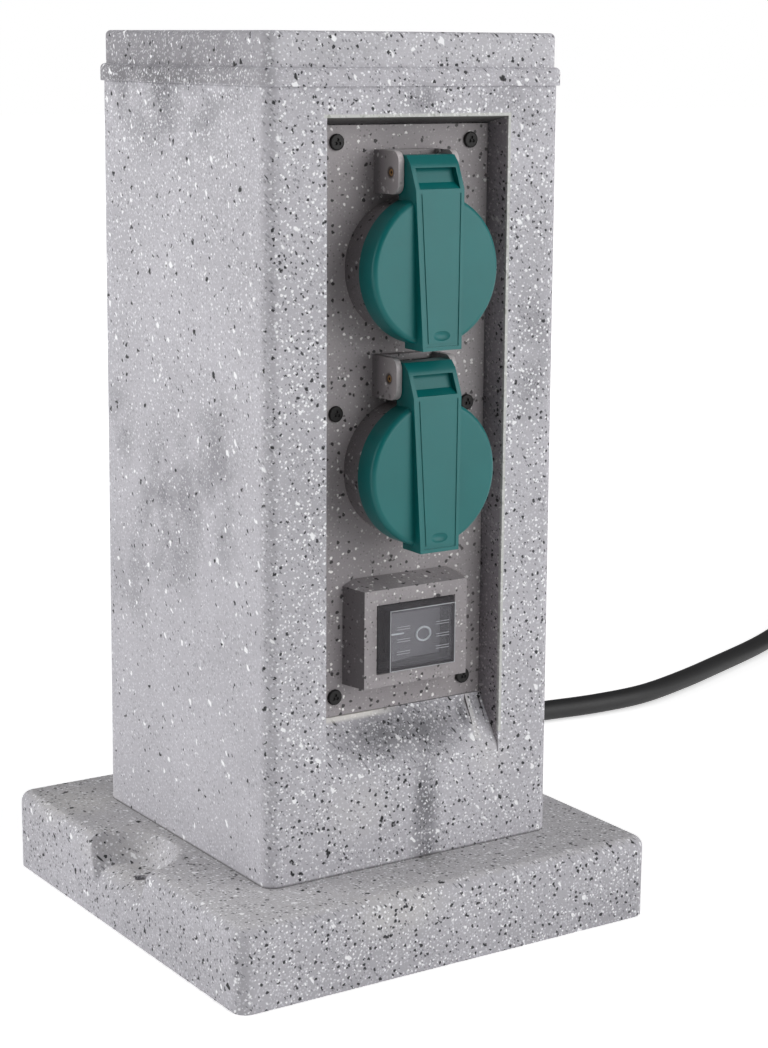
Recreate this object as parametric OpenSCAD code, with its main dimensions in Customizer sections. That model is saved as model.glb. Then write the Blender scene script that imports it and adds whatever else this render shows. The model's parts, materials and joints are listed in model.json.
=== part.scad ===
// Garden socket post: a stone-look post on a square base, with two lidded sockets, a switch and a mains lead
// The front faces -Y, the post stands along +Z and the origin is the middle of the base's underside

/* [Base] */
// Width and depth of the square base
base_w = 188; // [184:1:230]
// Height of the base
base_h = 33; // [30:0.5:45]
// Radius of the upright corners of the base
base_corner_r = 6; // [5:0.5:12]
// Radius of the rounded top edge of the base
base_edge_r = 4.5; // [2:0.5:5]
// Wall of the hollow base
base_wall = 4; // [3:0.5:4.5]
// Radius of the wall of each fixing scoop
scoop_r = 24.5; // [20:0.5:25]
// Depth of each fixing scoop below the top of the base
scoop_depth = 11.5; // [9:0.5:14]
// Radius of the rounded rim and floor edge of a scoop
scoop_edge_r = 3.5; // [2:0.5:3.5]
// Diameter of the fixing hole in each scoop
fix_hole_d = 5; // [4:0.5:6]
// Distance of a fixing hole from the side of the base
fix_hole_inset = 9.8; // [8:0.2:12]
// Diameter of the screws that hold the post on the base
base_screw_d = 4; // [3:0.5:5]

/* [Post] */
// Width and depth of the square post at its foot
post_w = 130.6; // [127:0.1:131.6]
// Height of the post between the base and the cap
post_h = 293.8; // [270:0.1:310]
// Distance that each face of the post leans in from foot to top
post_draft = 0.9; // [0:0.1:1.5]
// Radius of the upright corners of the post
post_corner_r = 5.5; // [4:0.5:8]
// Wall of the post at its top
post_wall = 3.5; // [3:0.1:4.2]

/* [Cap] */
// Height of the cap above the post
cap_h = 19.2; // [14:0.1:30]
// Distance that the cap stands inside the faces of the post
cap_setback = 0.6; // [0:0.1:1.5]
// Height of the rim band round the foot of the cap
cap_band_h = 6.6; // [4:0.1:10]
// Distance that the rim band stands out from the post
cap_band_out = 1.5; // [0.5:0.1:3]
// Radius of the rounded edges of the cap and its band
cap_edge_r = 2; // [0.5:0.1:3]
// Depth of the lip that goes into the post
cap_lip_h = 6; // [4:0.1:7]
// Wall of the cap and its lip
cap_wall = 3; // [2:0.1:4]

/* [Recess] */
// Width of the opening in the front of the post
opening_w = 79.6; // [78:0.1:84]
// Distance from the top of the post to the opening
opening_drop = 10.8; // [10:0.1:14]
// Distance from the foot of the panel down to the lower edge of the opening
sill_drop = 19.6; // [16:0.1:22]
// Depth from the front of the post to the panel
recess_depth = 10.65; // [9:0.05:12]
// Distance that each side wall leans in over the depth
side_draft = 1.8; // [0.5:0.1:2.2]
// Distance that the ceiling comes down over the depth
ceiling_draft = 2.8; // [1:0.1:3.5]
// Radius where the sill turns into the front of the post
sill_edge_r = 10; // [4:0.5:14]
// Wall of the recess
tub_wall = 3; // [2.5:0.1:4]

/* [Panel] */
// Thickness of the panel
panel_t = 3; // [2.5:0.1:3.5]
// Thickness of the gasket behind the panel
gasket_t = 1.5; // [1:0.1:2.5]
// Distance of the screws from the sides of the panel
screw_inset = 8.5; // [7.5:0.1:8.5]
// Distance of the upper screws from the top of the panel
screw_top_inset = 6.3; // [6:0.1:9]
// Distance of the lower screws from the foot of the panel
screw_foot_inset = 7.9; // [7:0.1:9.5]
// Height of the middle screws above the middle of the lower socket
screw_mid_rise = 21.9; // [20:0.1:24]
// Diameter of the panel screws
screw_d = 2.8; // [2.5:0.1:3.2]
// Diameter of the heads of the panel screws
screw_head_d = 6; // [5.5:0.1:6.5]

/* [Sockets] */
// Distance from the top of the panel to the middle of the upper socket
socket_drop = 52.1; // [51.5:0.1:54]
// Distance between the two sockets
socket_pitch = 75; // [74.5:0.1:78]
// Diameter of the well that takes a plug
well_d = 39; // [38.6:0.1:39.4]
// Depth of the well
well_depth = 17.5; // [17:0.1:18.5]
// Distance between the two contact holes
contact_pitch = 19; // [18.8:0.1:19.2]
// Diameter of a contact hole
contact_d = 4.9; // [4.8:0.05:5.2]
// Wall of the socket insert round the well
insert_wall = 2.1; // [1.8:0.1:2.3]
// Wall of the panel's collar round the insert
collar_wall = 3.85; // [3.6:0.05:4]
// Height of the collar above the panel
collar_h = 17.3; // [16.8:0.1:17.6]

/* [Lids] */
// Diameter of a lid
lid_d = 55; // [54.8:0.1:56]
// Wall of a lid's rim
lid_wall = 1.3; // [1:0.05:1.4]
// Thickness of a lid's face
lid_face_t = 2.4; // [1.8:0.1:2.6]
// Depth of a lid from its rear edge to its face
lid_depth = 9.9; // [9:0.1:10.5]
// Radius of the rounded front edge of a lid
lid_edge_r = 2; // [0.8:0.1:2.4]
// Gap between a lid's seal and the collar
seal_gap = 0.3; // [0.2:0.05:0.5]
// Thickness of a lid's seal
seal_t = 2.4; // [1.8:0.1:2.8]
// Width of a lid's strap at the hinge
strap_top_w = 21.2; // [20:0.1:22]
// Width of a lid's strap at its finger end
strap_foot_w = 17; // [14:0.1:19]
// Distance that the strap reaches below the middle of a lid
strap_drop = 28.5; // [28:0.1:30]
// Height of the strap above the lid's face at the hinge
strap_top_rise = 1.3; // [0.9:0.1:1.8]
// Height of the strap above the lid's face at its finger end
strap_foot_rise = 3.8; // [2.5:0.1:4]
// Depth of the finger lip below the lid
strap_lip_t = 11.8; // [9:0.1:12]
// Height of the hinge pin above the middle of a lid
pin_up = 35.2; // [35:0.1:35.6]
// Distance of the hinge pin from the panel
pin_out = 11.2; // [11:0.1:11.6]
// Diameter of the hinge pin
pin_d = 3; // [2.5:0.1:3.5]
// Radius of the hinge barrel
barrel_r = 6.3; // [6.2:0.1:6.5]
// Thickness of a hinge ear
ear_t = 2.4; // [2.2:0.1:3]
// Distance that a hinge ear stands out from the panel
ear_out = 16.3; // [15.8:0.1:17]
// Height of a hinge ear
ear_h = 15.6; // [15.4:0.1:16]
// Diameter of the wire of a lid's spring
spring_wire_d = 1; // [0.8:0.05:1.1]
// Turns of a lid's spring
spring_turns = 5; // [3:1:5]

/* [Switch] */
// Distance from the middle of the lower socket down to the middle of the switch
switch_drop = 63.4; // [62:0.1:66]
// Distance from the middle of the switch down to the foot of the panel
switch_foot = 30.8; // [30:0.1:33]
// Width of the switch box at the panel
box_w = 51.8; // [49:0.1:54]
// Height of the switch box at the panel
box_h = 40.4; // [39.5:0.1:41]
// Distance that the switch box stands out from the panel
box_out = 11.3; // [10.8:0.1:12]
// Distance that each side of the switch box leans in
box_side_draft = 2.6; // [1:0.1:3]
// Distance that the top of the switch box leans in
box_top_draft = 2.8; // [1:0.1:3]
// Width of the switch's frame
switch_w = 35; // [34:0.1:36]
// Height of the switch's frame
switch_h = 26.2; // [25.4:0.1:26.6]
// Thickness of the switch's frame
switch_frame_t = 1.5; // [1:0.1:2]
// Tilt of the rocker to each side
rocker_tilt = 7; // [5:0.5:8]
// Length of the rocker
rocker_w = 24.8; // [23:0.1:25]
// Distance that the clear splash cover stands out from the switch box
cover_out = 4.7; // [4.5:0.1:7]
// Wall of the splash cover
cover_wall = 1.1; // [0.8:0.1:1.4]

/* [Lead] */
// Diameter of the mains lead
cord_d = 10; // [10:0.1:10.2]
// Height of the lead's outlet above the base
cord_rise = 15; // [15:0.1:15]
// Length of the tapered strain relief outside the post
relief_l = 44.7; // [44.7:0.1:44.7]
// Diameter of the insulated wires inside
wire_d = 2.6; // [2.2:0.1:3]

/* [Hidden] */
$fn = 64;

// Colours
stone_grey = [0.66, 0.66, 0.68];
panel_grey = [0.52, 0.50, 0.50];
lid_green = [0.0, 0.36, 0.31];
dark_grey = [0.16, 0.16, 0.17];
black = [0.05, 0.05, 0.05];
steel = [0.72, 0.72, 0.74];
brass = [0.75, 0.58, 0.30];

// Clearances: cut is how far a cutter passes the face that it opens
cut = 1;
fit = 0.15;
gap = 0.3;
pin_fit = 0.05;
flush = 0.2;

// Heights and planes of the post
post_top = base_h + post_h;
post_top_w = post_w - 2 * post_draft;
post_inner_w = post_top_w - 2 * post_wall;
foot_wall = (post_w - post_inner_w) / 2;
front_y = -(post_w - post_draft) / 2;
rear_y = post_w / 2;
opening_top = post_top - opening_drop;
panel_y = front_y + recess_depth;
panel_top = opening_top - ceiling_draft;
panel_w = opening_w - 2 * side_draft;
seat_y = panel_y + panel_t + gasket_t;

// Heights of the sockets and the switch, counted down from the top of the panel
upper_z = panel_top - socket_drop;
lower_z = upper_z - socket_pitch;
switch_z = lower_z - switch_drop;
panel_z = switch_z - switch_foot;
sill_z = panel_z - sill_drop;

// Rib at the right end of the sill, between two grooves
rib_w = 1.8;
rib_at = 31.9;
groove_w = 4.6;
groove_depth = 2.4;
groove_share = 0.62;

// Flange behind the panel, with its window and its screw bosses
flange_t = 3;
boss_r = 4;
boss_l = 8;
screw_play = 0.4;
window_w = panel_w - 2 * (screw_inset + boss_r + 0.6);
window_top = panel_top - 2 * screw_top_inset + 1;
window_foot = panel_z + 2 * screw_foot_inset - 2.5;
screw_l = panel_t + gasket_t + flange_t + boss_l - 1;
screw_places = [
    for (z = [panel_top - screw_top_inset, lower_z + screw_mid_rise, panel_z + screw_foot_inset])
        for (side = [-1, 1])
            [side * (panel_w / 2 - screw_inset), z]
];

// Sockets
insert_r = well_d / 2 + insert_wall;
collar_r = insert_r + fit + collar_wall;
insert_front = collar_h - 0.4;
well_floor = insert_front - well_depth;
insert_flange_w = 2 * insert_r + 5.4;
insert_flange_t = 3;
insert_screw_r = insert_r + fit + collar_wall / 2;
insert_screw_d = 2.4;
insert_screw_a = 60;
insert_screw_l = 12;
insert_screw_end = 1.5;
insert_screw_head_h = 2;
housing_w = contact_pitch + 20;
housing_h = 32.6;
housing_back = -panel_t - insert_flange_t - 18;
sleeve_r = contact_d / 2 + 1;
sleeve_l = 16;
sleeve_block = [7, 9, 6.8];
key_w = 4.4;
contact_skin = 2.8;
strip_w = 5;
strip_t = 1;
strip_up = housing_h / 2 + gap;

// Lids
lid_r = lid_d / 2;
lid_inner_r = lid_r - lid_wall;
lid_face = collar_h + seal_gap + seal_t + lid_face_t;
lid_back = lid_face - lid_depth;
shoulder_up = lid_r + 1.9;
strap_top_out = lid_face + strap_top_rise;
strap_foot_out = lid_face + strap_foot_rise;
frame_border = 1.4;
frame_w = 1.2;
frame_depth = 0.3;
crest = [pin_up + barrel_r, pin_out + 5.8];
brow = [pin_up + 3.5, pin_out + 8.5];
pocket_side = 1.8;
pocket_top = 1.6;
pocket_depth = 2.4;
pocket_floor = 2.4;
dimple_r = 2.6;
dimple_swing = 6.5;
dimple_depth = 1;
dimple_up = 5.4;
ear_in = strap_top_w / 2 + gap;
ear_top = pin_up + ear_h / 2;
bridge_h = 2.3;
bridge_out = 4;
ear_r = 4;
knuckle_r = norm([ear_h / 2 - ear_r, ear_out - pin_out - ear_r]) + ear_r + gap;
spring_r = pin_d / 2 + spring_wire_d / 2 + 1.1;
spring_pitch = spring_wire_d + 0.6;
spring_w = spring_turns * spring_pitch + spring_wire_d;
spring_room = spring_w + 2;

// Switch
box_foot = 18.4;
box_cut = [5, 2.3];
plate_t = 0.01;
cover_foot = box_out - 3.3;
frame_back = cover_foot - switch_frame_t;
ledge_t = 2;
box_wall = 3;
body_w = switch_w - 5.2;
body_h = switch_h - 4;
body_back = frame_back - 24.5;
rocker_h = body_h - 3.2;
rocker_room_w = rocker_w + 2.4;
rocker_room_l = 3;
pivot_out = cover_foot - 6;
pivot_r = 1.4;
pivot_l = 1;
tab = [6.3, 0.8, 8];
tab_x = 8;
tab_in = 2.6;
tab_up = 5;

// Lead inside the post
cord_r = cord_d / 2;
cord_z = base_h + cord_rise;
relief_tip = rear_y + relief_l;
relief_neck_r = cord_r + 3;
relief_flange_r = cord_r + 6;
relief_flange_t = 3;
tail_end = rear_y - 40;
clamp_y = rear_y - 22;
clamp_w = cord_d + 22;
clamp_t = 8;
clamp_screw_x = cord_r + 6.5;
clamp_screw_d = 3;
clamp_seat = cord_z - cord_r - 0.1;
terminal_size = [32, 20, 15];
terminal_y = -8;
terminal_pitch = 10;
terminal_hole_r = wire_d / 2 + 0.7;
terminal_up = 7.5;
wire_in = 3;

// Screws that hold the post on the base
post_boss_r = base_screw_d / 2 + 3;
post_boss_l = 20;
post_boss_at = post_inner_w / 2 - post_boss_r + 0.5;
base_screw_head_h = 2.6;

// Route of the free lead: out of the strain relief, down to the ground and off to the right
coil_middle = [524, 171];
coil_r = 66;
coil_step = 10.8;
coil_turns = 2.5;
coil_from = 120;
coil_low = cord_r + 1;
coil_high = coil_low + 10.6;
plug_r = 18.5;
plug_z = plug_r + 0.3;
coil_angle = 360 * coil_turns;
coil_turn_back = coil_angle / 2;
coil_start = coil_at(0) - cord_d * coil_heading(0);
coil_end = coil_at(coil_angle) + cord_d * coil_heading(coil_angle);
cord_route = [
    [0, 110, 48], [0, 118, 48], [1, 128, 47.6], [6, 142, 45], [15, 154, 40], [29, 163, 33],
    [47, 168, 25], [68, 170, 17], [91, 169, 11], [115, 166, 7.2], [141, 160, 5.4], [170, 153, 5.2],
    [200, 147, 5.2], [228, 143, 5.2], [254, 140, 5.2], [286, 141, 5.2], [322, 151, 5.2], [360, 165, 5.2],
    [403, 182, 5.2], [436, 198, 5.4], coil_start - 14 * coil_heading(0), coil_start
];
tie_angle = 600;
tie_w = 12;
tie_t = 0.7;

// Plug
plug_boot_l = 30;
plug_grip_l = 28;
plug_face_l = 17;
plug_l = plug_boot_l + plug_grip_l + plug_face_l;
plug_pin_d = 4.8;
plug_pin_l = 19;
plug_pin_in = 8;

// Vector helpers
function unit(v) = v / norm(v);
function across(v) = unit(cross(v, abs(v[2]) < 0.9 ? [0, 0, 1] : [1, 0, 0]));
function square_to(n, t) = unit(n - (n * t) * t);
function ease(t) = let (u = min(max(t, 0), 1)) u * u * (3 - 2 * u);

// Smooth curve through points, with a number of steps for each stretch
function spline(p, steps) = [
    for (i = [0:len(p) - 2])
        let (
            b = p[i],
            c = p[i + 1],
            a = i > 0 ? p[i - 1] : 2 * b - c,
            d = i < len(p) - 2 ? p[i + 2] : 2 * c - b
        )
        for (k = [0:(i == len(p) - 2 ? steps : steps - 1)])
            let (t = k / steps)
            b + 0.5 * (c - a) * t + 0.5 * (2 * a - 5 * b + 4 * c - d) * t * t
            + 0.5 * (3 * b - a - 3 * c + d) * t * t * t
];

// Points of the coil: two layers that spiral in and out, with the climb where the spiral turns back
function coil_in(a) =
    a < coil_turn_back - 90 ? a :
    a > coil_turn_back + 90 ? coil_angle - a :
    coil_turn_back - 45 - pow(a - coil_turn_back, 2) / 180;
function coil_height(a) =
    coil_low
    + (coil_high - coil_low) * ease((a - coil_turn_back + 90) / 180)
    + (plug_z - coil_high) * ease((a - coil_angle + 90) / 90);
function coil_at(a) =
    let (r = coil_r - coil_step * coil_in(a) / 360, t = coil_from - a)
    [coil_middle[0] + r * cos(t), coil_middle[1] + r * sin(t), coil_height(a)];
function coil_heading(a) = [sin(coil_from - a), -cos(coil_from - a), 0];
coil_points = concat([coil_start], [for (a = [0:15:coil_angle]) coil_at(a)], [coil_end]);

// Points of a lid's spring: a helix along X with a straight leg to the panel
function spring_points() = concat(
    [[-spring_w / 2 + spring_wire_d / 2, pin_up - spring_r, gap + spring_wire_d / 2]],
    [
        for (i = [0:8 * spring_turns])
            let (a = 360 * i / 8)
            [
                -spring_w / 2 + spring_wire_d / 2 + spring_pitch * i / 8,
                pin_up - spring_r * cos(a),
                pin_out + spring_r * sin(a)
            ]
    ]
);

// Least gap of a tube to itself, measured between points that are some steps apart
function least_gap(p, d, apart) = min([
    for (i = [0:len(p) - 1])
        for (j = [i + apart:1:len(p) - 1])
            norm(p[i] - p[j]) - d
]);
echo(coil_least_gap = least_gap(coil_points, cord_d, 8));
echo(spring_least_gap = least_gap(spring_points(), spring_wire_d, 5));

// Tube of triangles along points
module tube(p, d, sides) {
    last = len(p) - 1;
    t = [for (i = [0:last]) unit(p[min(i + 1, last)] - p[max(i - 1, 0)])];
    n = [for (i = 0, v = across(t[0]); i <= last; i = i + 1, v = square_to(v, t[min(i, last)])) v];
    rings = [
        for (i = [0:last])
            for (k = [0:sides - 1])
                p[i] + d / 2 * (cos(360 * k / sides) * n[i] + sin(360 * k / sides) * cross(t[i], n[i]))
    ];
    walls = [
        for (i = [0:last - 1])
            for (k = [0:sides - 1])
                let (a = i * sides + k, b = i * sides + (k + 1) % sides)
                each [[a, a + sides, b + sides], [a, b + sides, b]]
    ];
    ends = [
        for (k = [1:sides - 2])
            each [[0, k, k + 1], [last * sides, last * sides + k + 1, last * sides + k]]
    ];
    polyhedron(rings, concat(walls, ends));
}

// Flat shapes
module rounded_square(w, d, r) {
    square([w - 2 * r, d], center = true);
    square([w, d - 2 * r], center = true);
    for (x = [-1, 1], y = [-1, 1])
        translate([x * (w / 2 - r), y * (d / 2 - r)]) circle(r);
}

// Half section of a round or square piece, with its top outer edge rounded
module edge_section(r, h, e) {
    square([r, h - e]);
    square([r - e, h]);
    translate([r - e, h - e]) intersection() {
        circle(e);
        square(e);
    }
}

// Square slab with rounded upright corners and a rounded top edge
module rounded_slab(w, h, r, e) {
    linear_extrude(h) square(w - 2 * r, center = true);
    for (a = [0:90:270])
        rotate(a) {
            translate([w / 2 - r, 0, 0])
                rotate([90, 0, 0]) linear_extrude(w - 2 * r, center = true) edge_section(r, h, e);
            translate([w / 2 - r, w / 2 - r, 0]) rotate_extrude() edge_section(r, h, e);
        }
}

// Extrusions along X of a section in Y and Z, and along Y of a plan in X and Z
module along_x(l) {
    rotate([90, 0, 90]) linear_extrude(l, center = true) children();
}
module along_y(l) {
    rotate([90, 0, 0]) linear_extrude(l, center = true) children();
}
module rod_x(l, d) {
    rotate([0, 90, 0]) cylinder(h = l, d = d, center = true);
}

// Frames: on the panel X runs right, Y up and Z out; at the rear and the plug Z runs along the lead
module on_panel(z) {
    translate([0, panel_y, z]) rotate([90, 0, 0]) children();
}
module at_rear() {
    translate([0, rear_y, cord_z]) rotate([-90, 0, 0]) children();
}
module at_plug() {
    translate(coil_end) rotate([0, 90, coil_from - coil_angle - 90]) children();
}

// Base
module scoop_cutter() {
    rotate_extrude() {
        translate([0, scoop_edge_r]) square([scoop_r, scoop_depth + cut]);
        square([scoop_r - scoop_edge_r, scoop_edge_r + cut]);
        translate([scoop_r - scoop_edge_r, scoop_edge_r]) circle(scoop_edge_r);
        difference() {
            translate([0, scoop_depth - scoop_edge_r]) square([scoop_r + scoop_edge_r, scoop_edge_r + cut]);
            translate([scoop_r + scoop_edge_r, scoop_depth - scoop_edge_r]) circle(scoop_edge_r);
        }
    }
}

module base_plinth() {
    scoop_floor = base_h - scoop_depth;
    inner_w = base_w - 2 * base_wall;
    fix_x = base_w / 2 - fix_hole_inset;
    color(stone_grey) difference() {
        union() {
            difference() {
                rounded_slab(base_w, base_h, base_corner_r, base_edge_r);
                translate([0, 0, -cut]) linear_extrude(base_h - base_wall + cut)
                    rounded_square(inner_w, inner_w, base_corner_r - base_wall);
            }
            intersection() {
                rounded_slab(base_w, base_h, base_corner_r, base_edge_r);
                for (side = [-1, 1]) {
                    translate([side * base_w / 2, 0, scoop_floor - base_wall])
                        cylinder(h = scoop_depth, r = scoop_r + scoop_edge_r + base_wall);
                    translate([side * fix_x, 0, 0]) cylinder(h = base_h, r = fix_hole_d / 2 + 3.5);
                }
            }
            translate([0, clamp_y, (base_h + clamp_seat) / 2 - base_wall / 2])
                cube([clamp_w, clamp_t, clamp_seat - base_h + base_wall], center = true);
        }
        difference() {
            for (side = [-1, 1])
                translate([side * base_w / 2, 0, scoop_floor - base_edge_r])
                    cylinder(h = base_edge_r + cut, r = scoop_r - scoop_edge_r);
            rounded_slab(base_w, scoop_floor, base_corner_r, base_edge_r);
        }
        for (side = [-1, 1]) {
            translate([side * base_w / 2, 0, scoop_floor]) scoop_cutter();
            translate([side * fix_x, 0, -cut]) cylinder(h = base_h, d = fix_hole_d);
            translate([side * clamp_screw_x, clamp_y, base_h])
                cylinder(h = cord_z, d = clamp_screw_d + 2 * pin_fit);
        }
        for (x = [-1, 1], y = [-1, 1])
            translate([x * post_boss_at, y * post_boss_at, 0])
                cylinder(h = base_h + cut, d = base_screw_d + 2 * fit);
    }
}

module base_screws() {
    color(steel)
        for (x = [-1, 1], y = [-1, 1])
            translate([x * post_boss_at, y * post_boss_at, base_h - base_wall]) {
                cylinder(h = base_wall + post_boss_l - 5, d = base_screw_d);
                translate([0, 0, -base_screw_head_h]) cylinder(h = base_screw_head_h, d = 2 * base_screw_d);
            }
}

// Post
module recess_section() {
    lean = atan2(recess_depth, panel_z - sill_z);
    reach = sill_edge_r * tan(lean / 2);
    polygon([
        [front_y - cut, sill_z], [front_y, sill_z], [panel_y, panel_z], [seat_y, panel_z],
        [seat_y, panel_top], [panel_y, panel_top], [front_y, opening_top], [front_y - cut, opening_top]
    ]);
    difference() {
        polygon([
            [front_y - cut, sill_z - reach], [front_y, sill_z - reach],
            [front_y + reach * sin(lean), sill_z + reach * cos(lean)], [front_y - cut, sill_z + reach]
        ]);
        translate([front_y + sill_edge_r, sill_z - reach]) circle(sill_edge_r);
    }
}

module recess_plan(wall, back) {
    half = opening_w / 2 + wall;
    rear_half = half - side_draft;
    polygon([
        [-rear_half, back], [-rear_half, panel_y], [-half, front_y], [-half, front_y - cut],
        [half, front_y - cut], [half, front_y], [rear_half, panel_y], [rear_half, back]
    ]);
}

module recess_space() {
    intersection() {
        along_x(2 * opening_w) recess_section();
        translate([0, 0, panel_z]) linear_extrude(3 * post_h, center = true) recess_plan(0, seat_y);
    }
}

module recess_tub() {
    back = seat_y + flange_t;
    intersection() {
        along_x(2 * opening_w) polygon([
            [front_y + cut, sill_z - tub_wall - groove_depth], [panel_y, panel_z - tub_wall - groove_depth],
            [back, panel_z - tub_wall - groove_depth],
            [back, panel_top + tub_wall], [panel_y, panel_top + tub_wall],
            [front_y + cut, opening_top + tub_wall]
        ]);
        translate([0, 0, base_h + cut]) linear_extrude(post_h) recess_plan(tub_wall, back);
        translate([0, 0, base_h]) linear_extrude(post_h) square(post_w - post_wall, center = true);
    }
}

// Grooves that run out down the sill on both sides of the rib
module sill_grooves() {
    for (turn = [-1, 1])
        translate([rib_at + turn * (rib_w + groove_w) / 2, 0, 0])
            along_x(groove_w) polygon([
                [panel_y, panel_z - groove_depth], [panel_y, panel_z + gap],
                [panel_y - groove_share * recess_depth - gap, panel_z - groove_share * sill_drop],
                [panel_y - groove_share * recess_depth, panel_z - groove_share * sill_drop]
            ]);
}

module post_shell() {
    inner_r = max(post_corner_r - post_wall, 1);
    color(stone_grey) difference() {
        union() {
            difference() {
                translate([0, 0, base_h]) linear_extrude(post_h, scale = post_top_w / post_w)
                    rounded_square(post_w, post_w, post_corner_r);
                translate([0, 0, base_h - cut]) linear_extrude(post_h + 2 * cut)
                    rounded_square(post_inner_w, post_inner_w, inner_r);
            }
            recess_tub();
            for (p = screw_places)
                translate([p[0], seat_y + flange_t - 0.5, p[1]])
                    rotate([-90, 0, 0]) cylinder(h = boss_l + 0.5, r = boss_r);
            for (x = [-1, 1], y = [-1, 1])
                translate([x * post_boss_at, y * post_boss_at, base_h])
                    cylinder(h = post_boss_l, r = post_boss_r);
        }
        recess_space();
        sill_grooves();
        translate([-window_w / 2, seat_y - cut, window_foot])
            cube([window_w, flange_t + 2 * cut, window_top - window_foot]);
        for (p = screw_places)
            translate([p[0], seat_y - cut, p[1]])
                rotate([-90, 0, 0]) cylinder(h = flange_t + boss_l + cut - 0.6, d = screw_d + 2 * pin_fit);
        for (x = [-1, 1], y = [-1, 1])
            translate([x * post_boss_at, y * post_boss_at, base_h - cut])
                cylinder(h = post_boss_l - 2 + cut, d = base_screw_d + 2 * pin_fit);
        at_rear() cylinder(h = 3 * foot_wall, r = relief_neck_r + pin_fit, center = true);
    }
}

module top_cap() {
    lip_w = post_inner_w - 2 * gap;
    cap_w = post_top_w - 2 * cap_setback;
    color(stone_grey) translate([0, 0, post_top]) difference() {
        union() {
            rounded_slab(cap_w, cap_h, post_corner_r, cap_edge_r);
            rounded_slab(post_top_w + 2 * cap_band_out, cap_band_h, post_corner_r + cap_band_out, cap_edge_r);
            translate([0, 0, -cap_lip_h]) linear_extrude(cap_lip_h + cut)
                rounded_square(lip_w, lip_w, max(post_corner_r - post_wall, 1));
        }
        translate([0, 0, -cap_lip_h - cut]) linear_extrude(cap_lip_h + cap_h - cap_wall + cut)
            rounded_square(lip_w - 2 * cap_wall, lip_w - 2 * cap_wall, 1);
    }
}

// Panel
module box_solid() {
    half = box_w / 2;
    top = box_h - box_foot;
    hull() {
        translate([0, 0, -flush]) linear_extrude(flush) polygon([
            [-half, -box_foot], [half, -box_foot], [half, top - box_cut[1]], [half - box_cut[0], top],
            [-half + box_cut[0], top], [-half, top - box_cut[1]]
        ]);
        translate([-half + box_side_draft, -box_foot, box_out - plate_t])
            cube([box_w - 2 * box_side_draft, box_h - box_top_draft, plate_t]);
    }
}

// Two ears that hold a hinge pin, joined by a bridge along the panel
module hinge_ears() {
    low = pin_up - ear_h / 2;
    for (side = [-1, 1])
        translate([side * (ear_in + ear_t / 2), 0, 0]) along_x(ear_t) {
            translate([low, -flush]) square([ear_h, ear_out - ear_r + flush]);
            translate([low + ear_r, -flush]) square([ear_h - 2 * ear_r, ear_out + flush]);
            for (y = [low + ear_r, ear_top - ear_r])
                translate([y, ear_out - ear_r]) circle(ear_r);
        }
    translate([-ear_in - ear_t, ear_top - bridge_h, -flush])
        cube([2 * (ear_in + ear_t), bridge_h, bridge_out + flush]);
}

module front_panel() {
    color(panel_grey) difference() {
        union() {
            translate([-panel_w / 2 + gap, panel_y, panel_z + gap])
                cube([panel_w - 2 * gap, panel_t, panel_top - panel_z - 2 * gap]);
            for (z = [upper_z, lower_z])
                on_panel(z) {
                    translate([0, 0, -flush]) cylinder(h = collar_h + flush, r = collar_r);
                    hinge_ears();
                }
            on_panel(switch_z) box_solid();
        }
        for (z = [upper_z, lower_z])
            on_panel(z) {
                translate([0, 0, -panel_t - cut])
                    cylinder(h = panel_t + collar_h + 2 * cut, r = insert_r + fit);
                translate([0, pin_up, pin_out]) rod_x(3 * ear_in, pin_d + 2 * pin_fit);
                for (a = [insert_screw_a, insert_screw_a + 180])
                    rotate(a) translate([insert_screw_r, 0, -panel_t - cut])
                        cylinder(h = cut + insert_screw_l, d = insert_screw_d + 2 * pin_fit);
            }
        on_panel(switch_z) {
            ledge_back = frame_back - ledge_t;
            translate([0, (box_h - box_top_draft) / 2 - box_foot, (ledge_back - panel_t - cut) / 2])
                cube(
                    [box_w - 2 * box_side_draft - 2 * box_wall, box_h - 2 * box_wall - box_top_draft,
                     ledge_back + panel_t + cut],
                    center = true
                );
            translate([0, 0, frame_back + box_out / 2])
                cube([switch_w + 2 * gap, switch_h + 2 * gap, box_out], center = true);
            cube([body_w + 2 * gap, body_h + 2 * gap, 3 * box_out], center = true);
        }
        for (p = screw_places)
            translate([p[0], panel_y, p[1]]) rotate([90, 0, 0])
                cylinder(h = 3 * panel_t, d = screw_d + 2 * screw_play, center = true);
    }
}

module panel_gasket() {
    color(dark_grey) difference() {
        translate([-panel_w / 2 + 2 * gap, panel_y + panel_t, panel_z + 2 * gap])
            cube([panel_w - 4 * gap, gasket_t, panel_top - panel_z - 4 * gap]);
        translate([-window_w / 2, panel_y, window_foot])
            cube([window_w, recess_depth, window_top - window_foot]);
        for (p = screw_places)
            translate([p[0], panel_y, p[1]]) rotate([-90, 0, 0])
                cylinder(h = recess_depth, d = screw_d + 2 * screw_play);
    }
}

module panel_screws() {
    head_h = 1.2;
    color(black)
        for (p = screw_places)
            translate([p[0], panel_y, p[1]]) rotate([90, 0, 0]) difference() {
                union() {
                    rotate_extrude() edge_section(screw_head_d / 2, head_h, head_h / 2);
                    translate([0, 0, -screw_l]) cylinder(h = screw_l + head_h / 2, d = screw_d);
                }
                for (a = [90, 210, 330])
                    rotate(a) translate([screw_head_d / 7, 0, head_h / 2])
                        cylinder(h = head_h, d = screw_head_d / 5);
            }
}

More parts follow.
